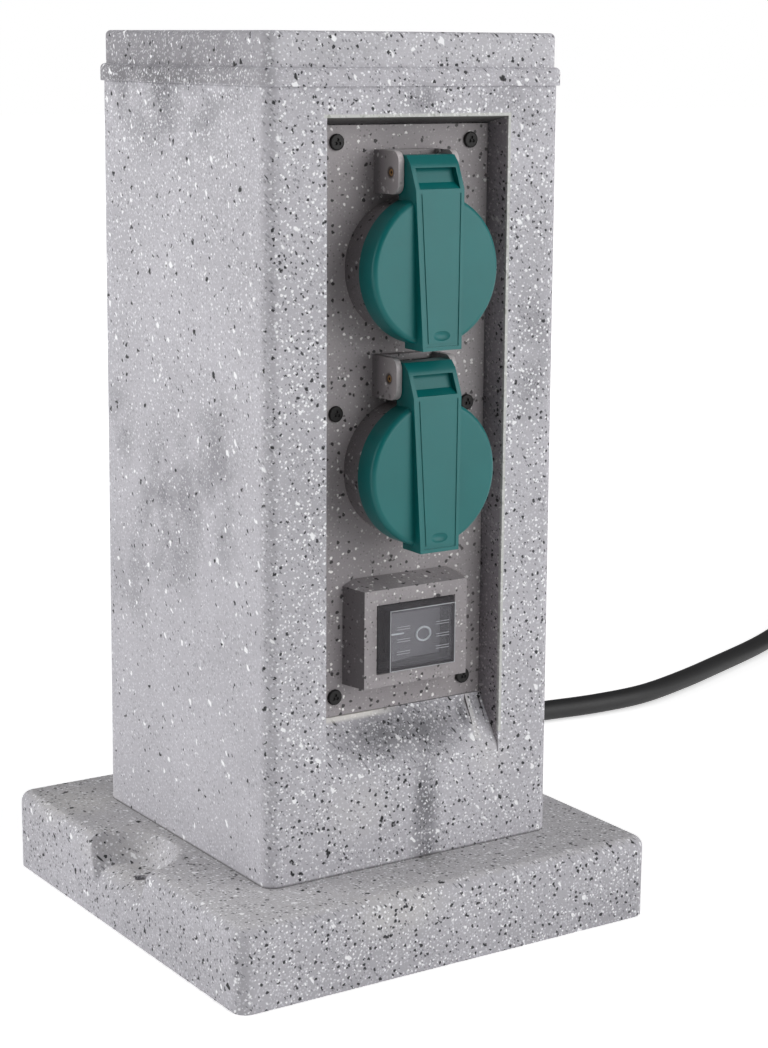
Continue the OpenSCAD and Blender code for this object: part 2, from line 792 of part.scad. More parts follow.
// Socket behind each lid: a cup for the plug, with a carrier for its contacts behind
module socket_insert(z) {
    flange_back = -panel_t - insert_flange_t;
    slot = [strip_w + 2 * gap, strip_t + 2 * gap, well_floor - flange_back + 2 * cut];
    color(dark_grey) on_panel(z) difference() {
        union() {
            translate([0, 0, flange_back + insert_flange_t / 2])
                cube([insert_flange_w, insert_flange_w, insert_flange_t], center = true);
            translate([0, 0, flange_back]) cylinder(h = insert_front - flange_back, r = insert_r);
        }
        difference() {
            translate([0, 0, well_floor]) cylinder(h = well_depth + cut, d = well_d);
            for (side = [-1, 1])
                translate([side * well_d / 2, 0, well_floor + well_depth / 2 - cut])
                    cube([key_w, key_w, well_depth], center = true);
        }
        for (side = [-1, 1]) {
            translate([side * contact_pitch / 2, 0, flange_back]) cylinder(h = 2 * well_depth, d = contact_d);
            translate([side * contact_pitch / 2, 0, flange_back - cut])
                cylinder(h = well_floor - contact_skin - flange_back + cut, r = sleeve_r + fit);
            translate([0, side * (strip_up + strip_t / 2), (flange_back + well_floor) / 2])
                cube(slot, center = true);
        }
        for (a = [insert_screw_a, insert_screw_a + 180])
            rotate(a) translate([insert_screw_r, 0, flange_back - cut])
                cylinder(h = insert_flange_t + 2 * cut, d = insert_screw_d + 2 * gap);
    }
}

module contact_carrier(z) {
    color(dark_grey) on_panel(z) difference() {
        translate([-housing_w / 2, -housing_h / 2, housing_back])
            cube([housing_w, housing_h, -panel_t - insert_flange_t - housing_back]);
        for (side = [-1, 1])
            translate([side * contact_pitch / 2, 0, housing_back - cut])
                cylinder(h = -housing_back, r = sleeve_r + fit);
    }
}

module earth_bracket(z) {
    bar_back = housing_back - flush - strip_t;
    bend = well_floor + 4.6;
    tip = insert_front - 2;
    middle = (bend + tip) / 2;
    color(steel) on_panel(z) {
        for (side = [0, 1])
            mirror([0, side, 0]) along_x(strip_w) polygon([
                [strip_up, bar_back], [strip_up, bend], [strip_up - 1.2, middle], [strip_up + 1, tip],
                [strip_up + 1 + strip_t, tip], [strip_up - 1.2 + strip_t, middle],
                [strip_up + strip_t, bend], [strip_up + strip_t, bar_back]
            ]);
        translate([0, 0, bar_back + strip_t / 2])
            cube([strip_w, 2 * strip_up + strip_t, strip_t], center = true);
    }
}

module contact_sleeves(z) {
    front = well_floor - contact_skin - flush;
    color(brass) on_panel(z)
        for (side = [-1, 1])
            translate([side * contact_pitch / 2, 0, 0]) {
                difference() {
                    translate([0, 0, housing_back - flush])
                        cylinder(h = front - housing_back + flush, r = sleeve_r);
                    translate([0, 0, front - sleeve_l]) cylinder(h = sleeve_l + cut, d = contact_d - pin_fit);
                }
                translate([0, 0, housing_back - flush - sleeve_block[2] / 2])
                    cube(sleeve_block, center = true);
            }
}

module socket_screws() {
    color(steel)
        for (z = [upper_z, lower_z])
            on_panel(z)
                for (a = [insert_screw_a, insert_screw_a + 180])
                    rotate(a) translate([insert_screw_r, 0, -panel_t - insert_flange_t]) {
                        cylinder(h = insert_flange_t + insert_screw_l - insert_screw_end, d = insert_screw_d);
                        translate([0, 0, -insert_screw_head_h])
                            cylinder(h = insert_screw_head_h, d = 2 * insert_screw_d);
                    }
}

// Lids with their seals, hinge pins and springs
module strap() {
    lip_back = strap_foot_out - strap_lip_t;
    intersection() {
        along_x(2 * strap_top_w) polygon([
            [shoulder_up, lid_face - 1], [shoulder_up, strap_top_out], [-strap_drop, strap_foot_out],
            [-strap_drop, lip_back], [-lid_r + 3, lip_back], [-lid_r + 3, lid_face - 1]
        ]);
        linear_extrude(2 * strap_foot_out) polygon([
            [-strap_top_w / 2, shoulder_up], [strap_top_w / 2, shoulder_up],
            [strap_foot_w / 2, -strap_drop], [-strap_foot_w / 2, -strap_drop]
        ]);
    }
}

// Half width of a lid's strap at a height above the middle of the lid
function strap_half(up) =
    strap_foot_w / 2 + (strap_top_w - strap_foot_w) / 2 * (up + strap_drop) / (shoulder_up + strap_drop);

// Shallow groove along the sides and the foot of a lid's strap
module strap_frame() {
    head = shoulder_up - frame_border;
    foot = -strap_drop + frame_border;
    inner = frame_border + frame_w;
    intersection() {
        along_x(2 * strap_top_w) polygon([
            [shoulder_up, strap_top_out - frame_depth], [shoulder_up, strap_top_out + cut],
            [-strap_drop, strap_foot_out + cut], [-strap_drop, strap_foot_out - frame_depth]
        ]);
        linear_extrude(2 * strap_foot_out) polygon([
            [-strap_half(head) + frame_border, head], [-strap_half(foot) + frame_border, foot],
            [strap_half(foot) - frame_border, foot], [strap_half(head) - frame_border, head],
            [strap_half(head) - inner, head], [strap_half(foot) - inner, foot + frame_w],
            [-strap_half(foot) + inner, foot + frame_w], [-strap_half(head) + inner, head]
        ]);
    }
}

// Pocket in the front of a lid's hinge end, with a sloped floor and a rear wall that follows the front
module hinge_pocket() {
    lean = (strap_top_out - brow[1]) / (brow[0] - shoulder_up);
    top = brow[0] - pocket_top;
    knee = shoulder_up + pocket_floor;
    along_x(strap_top_w - 2 * pocket_side) polygon([
        [shoulder_up + flush, strap_top_out + cut], [shoulder_up + flush, strap_top_out - flush],
        [knee, strap_top_out - lean * (knee - shoulder_up) - pocket_depth],
        [top, strap_top_out - lean * (top - shoulder_up) - pocket_depth], [top, strap_top_out + cut]
    ]);
}

// Shallow oval dimple near the finger end of a lid's strap
module finger_dimple() {
    translate([0, -strap_drop + dimple_up, strap_foot_out + dimple_swing + dimple_r - dimple_depth])
        rotate([90, 0, 0]) rotate_extrude() translate([dimple_swing, 0]) circle(dimple_r);
}

module lid(z) {
    color(lid_green) on_panel(z) difference() {
        union() {
            translate([0, 0, lid_back]) rotate_extrude() edge_section(lid_r, lid_depth, lid_edge_r);
            strap();
            translate([0, pin_up, pin_out]) rod_x(strap_top_w, 2 * barrel_r);
            along_x(strap_top_w) polygon([
                [lid_r - 3, lid_back], [shoulder_up, lid_back], [pin_up, pin_out], [crest[0], pin_out],
                crest, brow, [shoulder_up, strap_top_out], [lid_r - 3, strap_top_out - 0.5]
            ]);
        }
        translate([0, 0, lid_back - cut]) cylinder(h = lid_depth - lid_face_t + cut, r = lid_inner_r);
        translate([0, pin_up, pin_out]) {
            rod_x(2 * strap_top_w, pin_d + 2 * pin_fit);
            rod_x(spring_room, 2 * spring_r + spring_wire_d + 1.2);
            for (side = [-1, 1])
                translate([side * (strap_top_w / 2 + ear_t), 0, 0]) rod_x(2 * ear_t, 2 * knuckle_r);
        }
        translate([-spring_room / 2, pin_up - spring_r - spring_wire_d, pin_out - 2 * barrel_r])
            cube([spring_room, 3 * barrel_r, 2 * barrel_r]);
        hinge_pocket();
        strap_frame();
        finger_dimple();
    }
}

module lid_seal(z) {
    color(black) on_panel(z) translate([0, 0, collar_h + seal_gap]) difference() {
        cylinder(h = seal_t, r = lid_inner_r - gap);
        translate([0, 0, -cut]) cylinder(h = seal_t + 2 * cut, r = insert_r + gap);
    }
}

module hinge_pin(z) {
    color(brass) on_panel(z) translate([0, pin_up, pin_out])
        rod_x(2 * (ear_in + ear_t) - 2 * gap, pin_d);
}

module lid_spring(z) {
    color(steel) on_panel(z) tube(spring_points(), spring_wire_d, 6);
}

// Switch
module switch_body() {
    color(black) on_panel(switch_z) difference() {
        union() {
            translate([0, 0, (frame_back + cover_foot) / 2])
                cube([switch_w, switch_h, switch_frame_t], center = true);
            translate([0, 0, (frame_back + body_back) / 2])
                cube([body_w, body_h, frame_back - body_back], center = true);
        }
        translate([-rocker_room_w / 2, -rocker_h / 2 - gap, -rocker_room_l])
            cube([rocker_room_w, rocker_h + 2 * gap, cover_foot + rocker_room_l + cut]);
        translate([0, 0, pivot_out]) rotate([90, 0, 0])
            cylinder(h = rocker_h + 2 * pivot_l + 2 * pin_fit, r = pivot_r + pin_fit, center = true);
        for (x = [-1, 1], y = [-1, 1])
            translate([x * tab_x, y * tab_up, body_back])
                cube([tab[0] + 2 * fit, tab[1] + 2 * fit, 2 * tab_in + 2 * gap], center = true);
    }
}

module switch_rocker() {
    half = rocker_w / 2;
    rise = half * tan(rocker_tilt);
    color(dark_grey) on_panel(switch_z) translate([0, 0, pivot_out]) rotate([0, rocker_tilt, 0]) {
        along_y(rocker_h) polygon([
            [-half, 6.2 + rise], [0, 6.2], [half, 6.2 + rise], [half - 1.2, 2.6],
            [pivot_r + 2, -2], [-pivot_r - 2, -2], [-half + 1.2, 2.6]
        ]);
        rotate([90, 0, 0]) cylinder(h = rocker_h + 2 * pivot_l, r = pivot_r, center = true);
    }
}

module cover_solid(wall) {
    half_w = switch_w / 2 - wall;
    half_h = switch_h / 2 - wall;
    top = box_out + cover_out - wall;
    taper_w = 2.85;
    taper_h = 1.45;
    foot = wall > 0 ? cover_foot - cut : cover_foot;
    intersection() {
        along_x(2 * switch_w) polygon([
            [-half_h, foot], [half_h, foot], [half_h, box_out], [half_h - taper_h, top],
            [-half_h + taper_h, top], [-half_h, box_out]
        ]);
        along_y(2 * switch_h) polygon([
            [-half_w, foot], [half_w, foot], [half_w, box_out], [half_w - taper_w, top],
            [-half_w + taper_w, top], [-half_w, box_out]
        ]);
    }
}

module switch_cover() {
    rib = [5.9, 1, 0.4];
    rib_x = 8.9;
    rib_pitch = 4.75;
    color([0.6, 0.62, 0.65, 0.5]) on_panel(switch_z) {
        difference() {
            cover_solid(0);
            cover_solid(cover_wall);
        }
        for (side = [-1, 1], row = [-1:1])
            translate([side * rib_x, row * rib_pitch, box_out + cover_out + rib[2] / 2 - pin_fit])
                cube(rib, center = true);
    }
}

module switch_terminals() {
    color(brass) on_panel(switch_z)
        for (x = [-1, 1], y = [-1, 1])
            translate([x * tab_x, y * tab_up, body_back + (tab_in - tab[2]) / 2])
                cube([tab[0], tab[1], tab[2] + tab_in], center = true);
}

// Wiring inside the post
module terminal_block() {
    color([0.85, 0.84, 0.78]) translate([0, terminal_y, base_h]) difference() {
        translate([0, 0, terminal_size[2] / 2]) cube(terminal_size, center = true);
        for (i = [-1:1])
            translate([i * terminal_pitch, 0, 0]) {
                translate([0, 0, terminal_up]) rotate([90, 0, 0])
                    cylinder(h = 2 * terminal_size[1], r = terminal_hole_r, center = true);
                for (y = [-1, 1])
                    translate([0, y * terminal_size[1] / 4, terminal_up])
                        cylinder(h = terminal_size[2], r = terminal_hole_r + 0.2);
            }
    }
}

module terminal_screws() {
    color(steel) translate([0, terminal_y, base_h])
        for (i = [-1:1], y = [-1, 1])
            translate([i * terminal_pitch, y * terminal_size[1] / 4, terminal_up + wire_d / 2 + flush])
                cylinder(h = 5, r = terminal_hole_r);
}

// A wire from the lead's end into the rear of the terminal block
module wire_in_block(x, z) {
    back = terminal_y + terminal_size[1] / 2;
    up = base_h + terminal_up;
    tube(spline([
        [x * 0.24, tail_end - flush, z], [x * 0.24, tail_end - 4, z],
        [x * 0.7, (tail_end + back) / 2, (z + up) / 2],
        [x, back + 4, up], [x, back - wire_in, up]
    ], 5), wire_d, 8);
}

// A wire from the front of the terminal block up to a point behind the panel
module wire_up(x, end) {
    front = terminal_y - terminal_size[1] / 2;
    up = base_h + terminal_up;
    tube(spline([
        [x, front + wire_in, up], [x, front - 3, up], [x, front - 9, up + 8], [x, front - 9, up + 22],
        [(x + end[0]) / 2, front - 2, (up + end[2]) / 2], [end[0], end[1] + 12, end[2] - 14],
        [end[0], end[1] + 8, end[2] - 2], [end[0], end[1], end[2]]
    ], 4), wire_d, 8);
}

// A wire between two points behind the panel, bowed to the rear
module wire_link(low, high) {
    tube(spline([
        low, low + [0, 6, 1], low + [0, 11, 9],
        (low + high) / 2 + [0, 13, 0],
        high + [0, 11, -9], high + [0, 6, -1], high
    ], 4), wire_d, 8);
}

tabs_y = panel_y - body_back + tab[2] + flush;
sleeves_y = panel_y - housing_back + sleeve_block[2] + 2 * flush;
bars_y = panel_y - housing_back + strip_t + 2 * flush;
entry_up = 2.4;
bar_up = 9;

module pole_wires(side) {
    x = side * contact_pitch / 2;
    wire_in_block(side * terminal_pitch, cord_z + 1);
    wire_up(side * terminal_pitch, [side * tab_x, tabs_y, switch_z - tab_up]);
    wire_link([side * tab_x, tabs_y, switch_z + tab_up], [x, sleeves_y, lower_z - entry_up]);
    wire_link([x, sleeves_y, lower_z + entry_up], [x, sleeves_y, upper_z - entry_up]);
}

module live_wires() {
    color([0.35, 0.2, 0.1]) pole_wires(-1);
}

module neutral_wires() {
    color([0.1, 0.3, 0.65]) pole_wires(1);
}

module earth_wires() {
    color([0.45, 0.6, 0.15]) {
        wire_in_block(0, cord_z - 2.6);
        wire_up(0, [0, bars_y, lower_z - bar_up]);
        wire_link([0, bars_y, lower_z + bar_up], [0, bars_y, upper_z - bar_up]);
    }
}

// Lead
module supply_tail() {
    color(black) translate([0, tail_end, cord_z]) rotate([-90, 0, 0])
        cylinder(h = relief_tip - tail_end, d = cord_d);
}

module cable_clamp() {
    crown = cord_r + 3;
    color(dark_grey) translate([0, clamp_y, 0]) difference() {
        translate([-clamp_w / 2, -clamp_t / 2, clamp_seat])
            cube([clamp_w, clamp_t, cord_z + crown - clamp_seat]);
        translate([0, 0, cord_z]) rotate([90, 0, 0])
            cylinder(h = 2 * clamp_t, r = cord_r + flush, center = true);
        translate([-cord_r - flush, -clamp_t, clamp_seat - cut])
            cube([cord_d + 2 * flush, 2 * clamp_t, cord_z - clamp_seat + cut]);
        for (side = [-1, 1])
            translate([side * clamp_screw_x, 0, clamp_seat - cut])
                cylinder(h = 4 * crown, d = clamp_screw_d + 2 * fit);
    }
}

module clamp_screws() {
    top = cord_z + cord_r + 3;
    color(steel)
        for (side = [-1, 1])
            translate([side * clamp_screw_x, clamp_y, 0]) {
                translate([0, 0, base_h + 1]) cylinder(h = top - base_h - 1, d = clamp_screw_d);
                translate([0, 0, top]) cylinder(h = 2.4, d = 2 * clamp_screw_d);
            }
}

module strain_relief() {
    inner_t = 2.5;
    groove_l = 1.8;
    groove_pitch = 5;
    tip_r = cord_r + 1.2;
    body_r = cord_r + 4;
    grooves = 6;
    color(black) at_rear() difference() {
        union() {
            translate([0, 0, -foot_wall - inner_t]) cylinder(h = inner_t, r = relief_flange_r - 1);
            translate([0, 0, -foot_wall - cut]) cylinder(h = foot_wall + 2 * cut, r = relief_neck_r);
            rotate_extrude() edge_section(relief_flange_r, relief_flange_t, 1);
            translate([0, 0, relief_flange_t - cut])
                cylinder(h = relief_l - relief_flange_t + cut, r1 = body_r, r2 = tip_r);
        }
        translate([0, 0, -relief_l]) cylinder(h = 3 * relief_l, r = cord_r + pin_fit);
        for (i = [0:grooves - 1])
            translate([0, 0, groove_pitch * (i + 2)]) difference() {
                cylinder(h = groove_l, r = 2 * body_r);
                translate([0, 0, -cut]) cylinder(h = groove_l + 2 * cut, r = tip_r);
            }
    }
}

module mains_cord() {
    color(black) tube(spline(cord_route, 3), cord_d, 10);
}

module cord_coil() {
    color(black) tube(coil_points, cord_d, 6);
}

// Band tie round the turns of the coil
module cord_tie() {
    inner = coil_r - coil_step * coil_turns / 2 - cord_r - 1.6;
    outer = coil_r + cord_r + 0.6;
    low = coil_low - cord_r - gap;
    high = coil_high + cord_r + gap;
    color(dark_grey) translate([coil_middle[0], coil_middle[1], 0])
        rotate([90, 0, coil_from - tie_angle]) linear_extrude(tie_w, center = true) difference() {
            translate([(inner + outer) / 2, (low + high) / 2])
                rounded_square(outer - inner + 2 * tie_t, high - low + 2 * tie_t, 3);
            translate([(inner + outer) / 2, (low + high) / 2])
                rounded_square(outer - inner, high - low, 2.4);
        }
}

// Plug
module plug_body() {
    grip = plug_boot_l + plug_grip_l;
    color(black) at_plug() difference() {
        union() {
            cylinder(h = plug_boot_l, r1 = cord_r + 1.2, r2 = cord_r + 4);
            translate([0, 0, plug_boot_l - cut])
                cylinder(h = plug_grip_l + cut, r1 = cord_r + 5, r2 = plug_r - 1.5);
            translate([0, 0, grip - cut]) cylinder(h = plug_face_l + cut, r = plug_r);
        }
        for (side = [-1, 1]) {
            translate([side * plug_r, 0, plug_l - 7]) cube([3, strip_w + 2 * gap, 20], center = true);
            translate([0, side * contact_pitch / 2, plug_l - plug_pin_in])
                cylinder(h = plug_pin_in + cut, d = plug_pin_d + 2 * pin_fit);
        }
    }
}

module plug_pins() {
    color(steel) at_plug()
        for (side = [-1, 1])
            translate([0, side * contact_pitch / 2, plug_l - plug_pin_in + gap])
                rotate_extrude()
                    edge_section(plug_pin_d / 2, plug_pin_l + plug_pin_in - gap, plug_pin_d / 2 - 0.4);
}

module plug_earth_strips() {
    color(steel) at_plug()
        for (side = [-1, 1])
            translate([side * (plug_r - 0.9), 0, plug_l - 8]) cube([1, strip_w, 15], center = true);
}

base_plinth();
post_shell();
top_cap();
base_screws();
front_panel();
panel_gasket();
panel_screws();
socket_insert(upper_z);  // upper_socket_insert
socket_insert(lower_z);  // lower_socket_insert
earth_bracket(upper_z);  // upper_earth_bracket
earth_bracket(lower_z);  // lower_earth_bracket
contact_carrier(upper_z);  // upper_contact_carrier
contact_carrier(lower_z);  // lower_contact_carrier
contact_sleeves(upper_z);  // upper_contact_sleeves
contact_sleeves(lower_z);  // lower_contact_sleeves
socket_screws();
lid(upper_z);  // upper_lid
lid(lower_z);  // lower_lid
lid_seal(upper_z);  // upper_lid_seal
lid_seal(lower_z);  // lower_lid_seal
hinge_pin(upper_z);  // upper_hinge_pin
hinge_pin(lower_z);  // lower_hinge_pin
lid_spring(upper_z);  // upper_lid_spring
lid_spring(lower_z);  // lower_lid_spring
switch_body();
switch_rocker();
switch_cover();
switch_terminals();
terminal_block();
terminal_screws();
live_wires();
neutral_wires();
earth_wires();
supply_tail();
cable_clamp();
clamp_screws();
strain_relief();
mains_cord();
cord_coil();
cord_tie();
plug_body();
plug_pins();
plug_earth_strips();
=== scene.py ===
"""Garden socket post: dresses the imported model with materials, rounded mouldings, a lead and a studio."""

import json
import math

import bmesh
import bpy
from mathutils import Matrix, Vector


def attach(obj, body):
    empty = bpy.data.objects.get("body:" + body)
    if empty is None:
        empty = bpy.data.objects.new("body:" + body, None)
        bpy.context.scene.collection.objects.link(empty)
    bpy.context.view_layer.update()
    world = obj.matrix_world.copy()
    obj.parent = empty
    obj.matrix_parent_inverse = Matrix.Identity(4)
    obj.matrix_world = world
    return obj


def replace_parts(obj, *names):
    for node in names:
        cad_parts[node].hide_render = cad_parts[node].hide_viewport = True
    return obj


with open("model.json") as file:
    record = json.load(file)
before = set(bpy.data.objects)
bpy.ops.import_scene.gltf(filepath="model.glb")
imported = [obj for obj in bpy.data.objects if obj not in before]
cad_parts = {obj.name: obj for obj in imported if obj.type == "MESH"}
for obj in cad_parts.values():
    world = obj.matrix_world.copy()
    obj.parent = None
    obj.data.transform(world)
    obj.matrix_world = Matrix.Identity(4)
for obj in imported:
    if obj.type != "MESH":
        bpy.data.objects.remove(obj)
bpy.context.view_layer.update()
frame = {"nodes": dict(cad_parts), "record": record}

MM = 0.001
scene = bpy.context.scene
scene.view_settings.view_transform = "Standard"


def mm(*values):
    """A point given in millimetres."""
    return Vector(values) * MM


def linear(*rgb):
    """Linear colour of an sRGB colour of 0 to 255."""
    return tuple(
        c / 12.92 if c <= 0.04045 else ((c + 0.055) / 1.055) ** 2.4 for c in (v / 255 for v in rgb)
    ) + (1.0,)


def times(colour, k):
    """A colour made darker or lighter."""
    return tuple(min(k * c, 1.0) for c in colour[:3]) + (1.0,)


# Camera
FRAME_H = 1048
FOCAL_PX = 2296.0
SENSOR_W = 36
CAMERA_AT = mm(-475.41, -761.61, 342.1)
YAW, PITCH, ROLL = (math.radians(a) for a in (33.4818, -11.8442, 0.4745))


def make_camera():
    data = bpy.data.cameras.new("camera")
    data.sensor_width = SENSOR_W
    data.lens = FOCAL_PX * SENSOR_W / FRAME_H
    data.clip_start, data.clip_end = 0.01, 50
    cam = bpy.data.objects.new("camera", data)
    scene.collection.objects.link(cam)
    ahead = Vector((math.sin(YAW) * math.cos(PITCH), math.cos(YAW) * math.cos(PITCH), math.sin(PITCH)))
    right = Vector((math.cos(YAW), -math.sin(YAW), 0))
    up = right.cross(ahead)
    c, s = math.cos(ROLL), math.sin(ROLL)
    axes = Matrix((c * right + s * up, c * up - s * right, -ahead)).transposed().to_4x4()
    axes.translation = CAMERA_AT
    cam.matrix_world = axes
    scene.camera = cam


make_camera()


# Node helper
class Nodes:
    """A material's nodes, with short calls for the ones that are used here. Places are in millimetres."""

    CHIP_EDGE = 0.09
    CHIP_MOVE = (1, 1.7, 0.6)
    SHAKE_SCALE = 2.3
    CLOUD_SCALE, CLOUD_RANGE = 0.06, (0.34, 0.6)

    def __init__(self, name):
        self.material = bpy.data.materials.new(name)
        self.material.use_nodes = True
        self.tree = self.material.node_tree
        self.tree.nodes.clear()
        out = self.tree.nodes.new("ShaderNodeOutputMaterial")
        self.shader = self.tree.nodes.new("ShaderNodeBsdfPrincipled")
        self.tree.links.new(self.shader.outputs[0], out.inputs[0])
        place = self.tree.nodes.new("ShaderNodeTexCoord")
        self.at = self.vector("SCALE", place.outputs["Object"], scale=1 / MM)
        self.facing = place.outputs["Normal"]

    def put(self, socket, value):
        if isinstance(value, bpy.types.NodeSocket):
            self.tree.links.new(value, socket)
        else:
            socket.default_value = value

    def math(self, op, a, b=0.0, clamp=False):
        n = self.tree.nodes.new("ShaderNodeMath")
        n.operation, n.use_clamp = op, clamp
        self.put(n.inputs[0], a)
        self.put(n.inputs[1], b)
        return n.outputs[0]

    def product(self, first, *rest):
        for value in rest:
            first = self.math("MULTIPLY", first, value)
        return first

    def above(self, value, limit):
        return self.math("GREATER_THAN", value, limit)

    def below(self, value, limit):
        return self.math("LESS_THAN", value, limit)

    def within(self, value, low, high):
        """1 where a value lies between two limits, 0 elsewhere."""
        return self.product(self.above(value, low), self.below(value, high))

    def size(self, value):
        return self.math("ABSOLUTE", value)

    def apart(self, value, other):
        """How far a value is from another one."""
        return self.size(self.math("SUBTRACT", value, other))

    def vector(self, op, a, b=(0, 0, 0), scale=None):
        n = self.tree.nodes.new("ShaderNodeVectorMath")
        n.operation = op
        self.put(n.inputs[0], a)
        if scale is None:
            self.put(n.inputs[1], b)
        else:
            n.inputs["Scale"].default_value = scale
        return n.outputs["Value"] if op == "LENGTH" else n.outputs[0]

    def axes(self, vec):
        n = self.tree.nodes.new("ShaderNodeSeparateXYZ")
        self.put(n.inputs[0], vec)
        return n.outputs

    def mapped(self, vec, move=(0, 0, 0), turn=(0, 0, 0), scale=(1, 1, 1)):
        n = self.tree.nodes.new("ShaderNodeMapping")
        self.put(n.inputs["Vector"], vec)
        n.inputs["Location"].default_value = move
        n.inputs["Rotation"].default_value = turn
        n.inputs["Scale"].default_value = scale
        return n.outputs[0]

    def noise(self, vec, scale, detail=2.0, rough=0.5, warp=0.0):
        n = self.tree.nodes.new("ShaderNodeTexNoise")
        self.put(n.inputs["Vector"], vec)
        n.inputs["Scale"].default_value = scale
        n.inputs["Detail"].default_value = detail
        n.inputs["Roughness"].default_value = rough
        n.inputs["Distortion"].default_value = warp
        return n

    def cells(self, vec):
        n = self.tree.nodes.new("ShaderNodeTexVoronoi")
        self.put(n.inputs["Vector"], vec)
        n.inputs["Scale"].default_value = 1.0
        return n.outputs["Distance"], n.outputs["Color"]

    def parts(self, colour):
        n = self.tree.nodes.new("ShaderNodeSeparateColor")
        self.put(n.inputs[0], colour)
        return n.outputs

    def between(self, value, low, high, to_low=0.0, to_high=1.0, smooth=False):
        n = self.tree.nodes.new("ShaderNodeMapRange")
        n.interpolation_type = "SMOOTHSTEP" if smooth else "LINEAR"
        n.clamp = True
        for socket, v in zip(n.inputs, (value, low, high, to_low, to_high)):
            self.put(socket, v)
        return n.outputs[0]

    def mix(self, share, a, b, kind="MIX"):
        n = self.tree.nodes.new("ShaderNodeMix")
        n.data_type, n.blend_type = "RGBA", kind
        self.put(n.inputs["Factor"], share)
        for socket, v in zip([s for s in n.inputs if s.type == "RGBA"], (a, b)):
            self.put(socket, v)
        return [s for s in n.outputs if s.type == "RGBA"][0]

    def bump(self, height, strength, distance):
        n = self.tree.nodes.new("ShaderNodeBump")
        n.inputs["Strength"].default_value = strength
        n.inputs["Distance"].default_value = distance
        self.put(n.inputs["Height"], height)
        self.put(self.shader.inputs["Normal"], n.outputs[0])

    def set(self, **values):
        for key, value in values.items():
            self.put(self.shader.inputs[key.replace("_", " ")], value)
        return self.material

    def flecks(self, cell, share, size, wobble=0.4, stretch=(1, 1, 1), turn=(0, 0, 0), move=0.0):
        """Mask of chips: a share of the cells holds one, its radius in cells lies between the two sizes."""
        vec = self.mapped(self.at, turn=turn)
        moved = tuple(k * move for k in self.CHIP_MOVE)
        vec = self.mapped(vec, moved, scale=tuple(s / cell for s in stretch))
        if wobble:
            cloud = self.noise(vec, self.SHAKE_SCALE, 1.0).outputs["Color"]
            shake = self.vector("SUBTRACT", cloud, (0.5, 0.5, 0.5))
            vec = self.vector("ADD", vec, self.vector("SCALE", shake, scale=wobble))
        far, colour = self.cells(vec)
        pick, grade = self.parts(colour)[:2]
        radius = self.between(grade, 0, 1, *size)
        inside = self.math("DIVIDE", self.math("SUBTRACT", radius, far), self.CHIP_EDGE, clamp=True)
        return self.math("MULTIPLY", inside, self.below(pick, share))

    def stain(self, middle, reach, least=0.0):
        """Soft cloud round a point, broken up by noise that leaves at least a share of it."""
        away = self.vector("DIVIDE", self.vector("SUBTRACT", self.at, middle), reach)
        ball = self.between(self.vector("LENGTH", away), 1.0, 0.1, smooth=True)
        noise = self.noise(self.at, self.CLOUD_SCALE, 3.0).outputs[0]
        return self.math("MULTIPLY", ball, self.between(noise, *self.CLOUD_RANGE, least, 1.0))


# Stone: its colours and the places where it changes
STONE = linear(188, 186, 192)
STONE_GRAIN = linear(140, 140, 144)
GRIME_AND_SHADE, WARM_SHADE_AND_TONE = linear(84, 84, 88), linear(84, 82, 84)
PALE_TONE = linear(232, 229, 224)
BASE_H = 33.0
BASE_TOP = BASE_H + 0.02
CAP_SEAM, CAP_BROW = (326.5, 327.5), (333, 335)
RECESS_HALF_W, RECESS_Y, RECESS_Z = 40.6, (-64.4, -50), (73, 318)
FRONT_Y = -63.6
LIP_X, LIP_Z, BROW_Z, BROW_HALF_W = 40.3, (78, 317), 316.4, 41
LIP_FADE = (0.9, 0.4)
SILL_TOP = 92.5
SILL_RIB_SIDES, SILL_RIB_FROM = ((30.0, 30.8), (33.6, 32.8)), 76
SHELF_X, SHELF_Y, SHELF_Z = (0, -14), (-55.6, -53), (89.6, 90.8)
FOOT_FADE, FOOT_Z = (BASE_H + 1.1, BASE_H + 0.4), (BASE_H + 0.03, BASE_H + 3)
# How far a normal leans to the left or to the front before a face counts as facing there
FACES = (-0.3, -0.8)

# Darker clouds that come and go, stains and painted shade, among them painted shade on the left side below
# the cap: middle, reach and depth
STAINS_AND_SHADE = [
    ((-66, 10, 165), (14, 40, 50), 0.50),
    ((-66, -26, 188), (12, 30, 44), 0.42),
    ((-66, -34, 156), (12, 16, 14), 0.45),
    ((-66, 52, 190), (12, 18, 26), 0.50),
    ((-66, 4, 320), (12, 90, 32), 0.45),
    ((-66, 30, 326), (14, 50, 16), 0.35),
    ((-66, 40, 130), (12, 26, 30), 0.32),
    ((40, -66, 318), (20, 12, 14), 0.35),
    ((-30, -66, 340), (30, 14, 10), 0.25),
    ((-1, -66, 322), (13, 12, 9), 0.60),
    ((53, -66, 222), (13, 12, 46), 0.36),
]
# Steadier dark clouds: dirt in the smear below the sill and on the sill, painted shade on the sill beside
# its rib, and darker patches on the front's strips and the base's end
SILL_DIRT = ((-1, -60, 84), (46, 18, 18), 0.84)
DIRT_AND_SHADE = [
    ((5.5, -66, 44), (9, 14, 58), 0.86),
    SILL_DIRT,
    ((27.6, -58.5, 86), (4.2, 9, 10), 0.85),
    ((-50, -66, 165), (20, 12, 75), 0.12),
    ((52, -66, 245), (16, 12, 50), 0.10),
    ((82, -92, 10), (30, 14, 22), 0.24),
]
# Paler places: painted light in the scoop and on the base's top behind it, where shade falls, and paler
# patches on the base's front and the front below the recess
PALE_PATCHES = [
    ((-82, 14, 28), (28, 36, 14), 0.34),
    ((-80, 66, 33), (24, 30, 12), 0.42),
    ((-25, -94, 27), (30, 10, 15), 0.36),
    ((-25, -66, 58), (24, 12, 18), 0.15),
    ((36, -66, 70), (14, 12, 14), 0.18),
]
DIRT_AND_SHADE_LEAST, SILL_LEAST, PALE_LEAST = 0.55, 0.6, 0.7

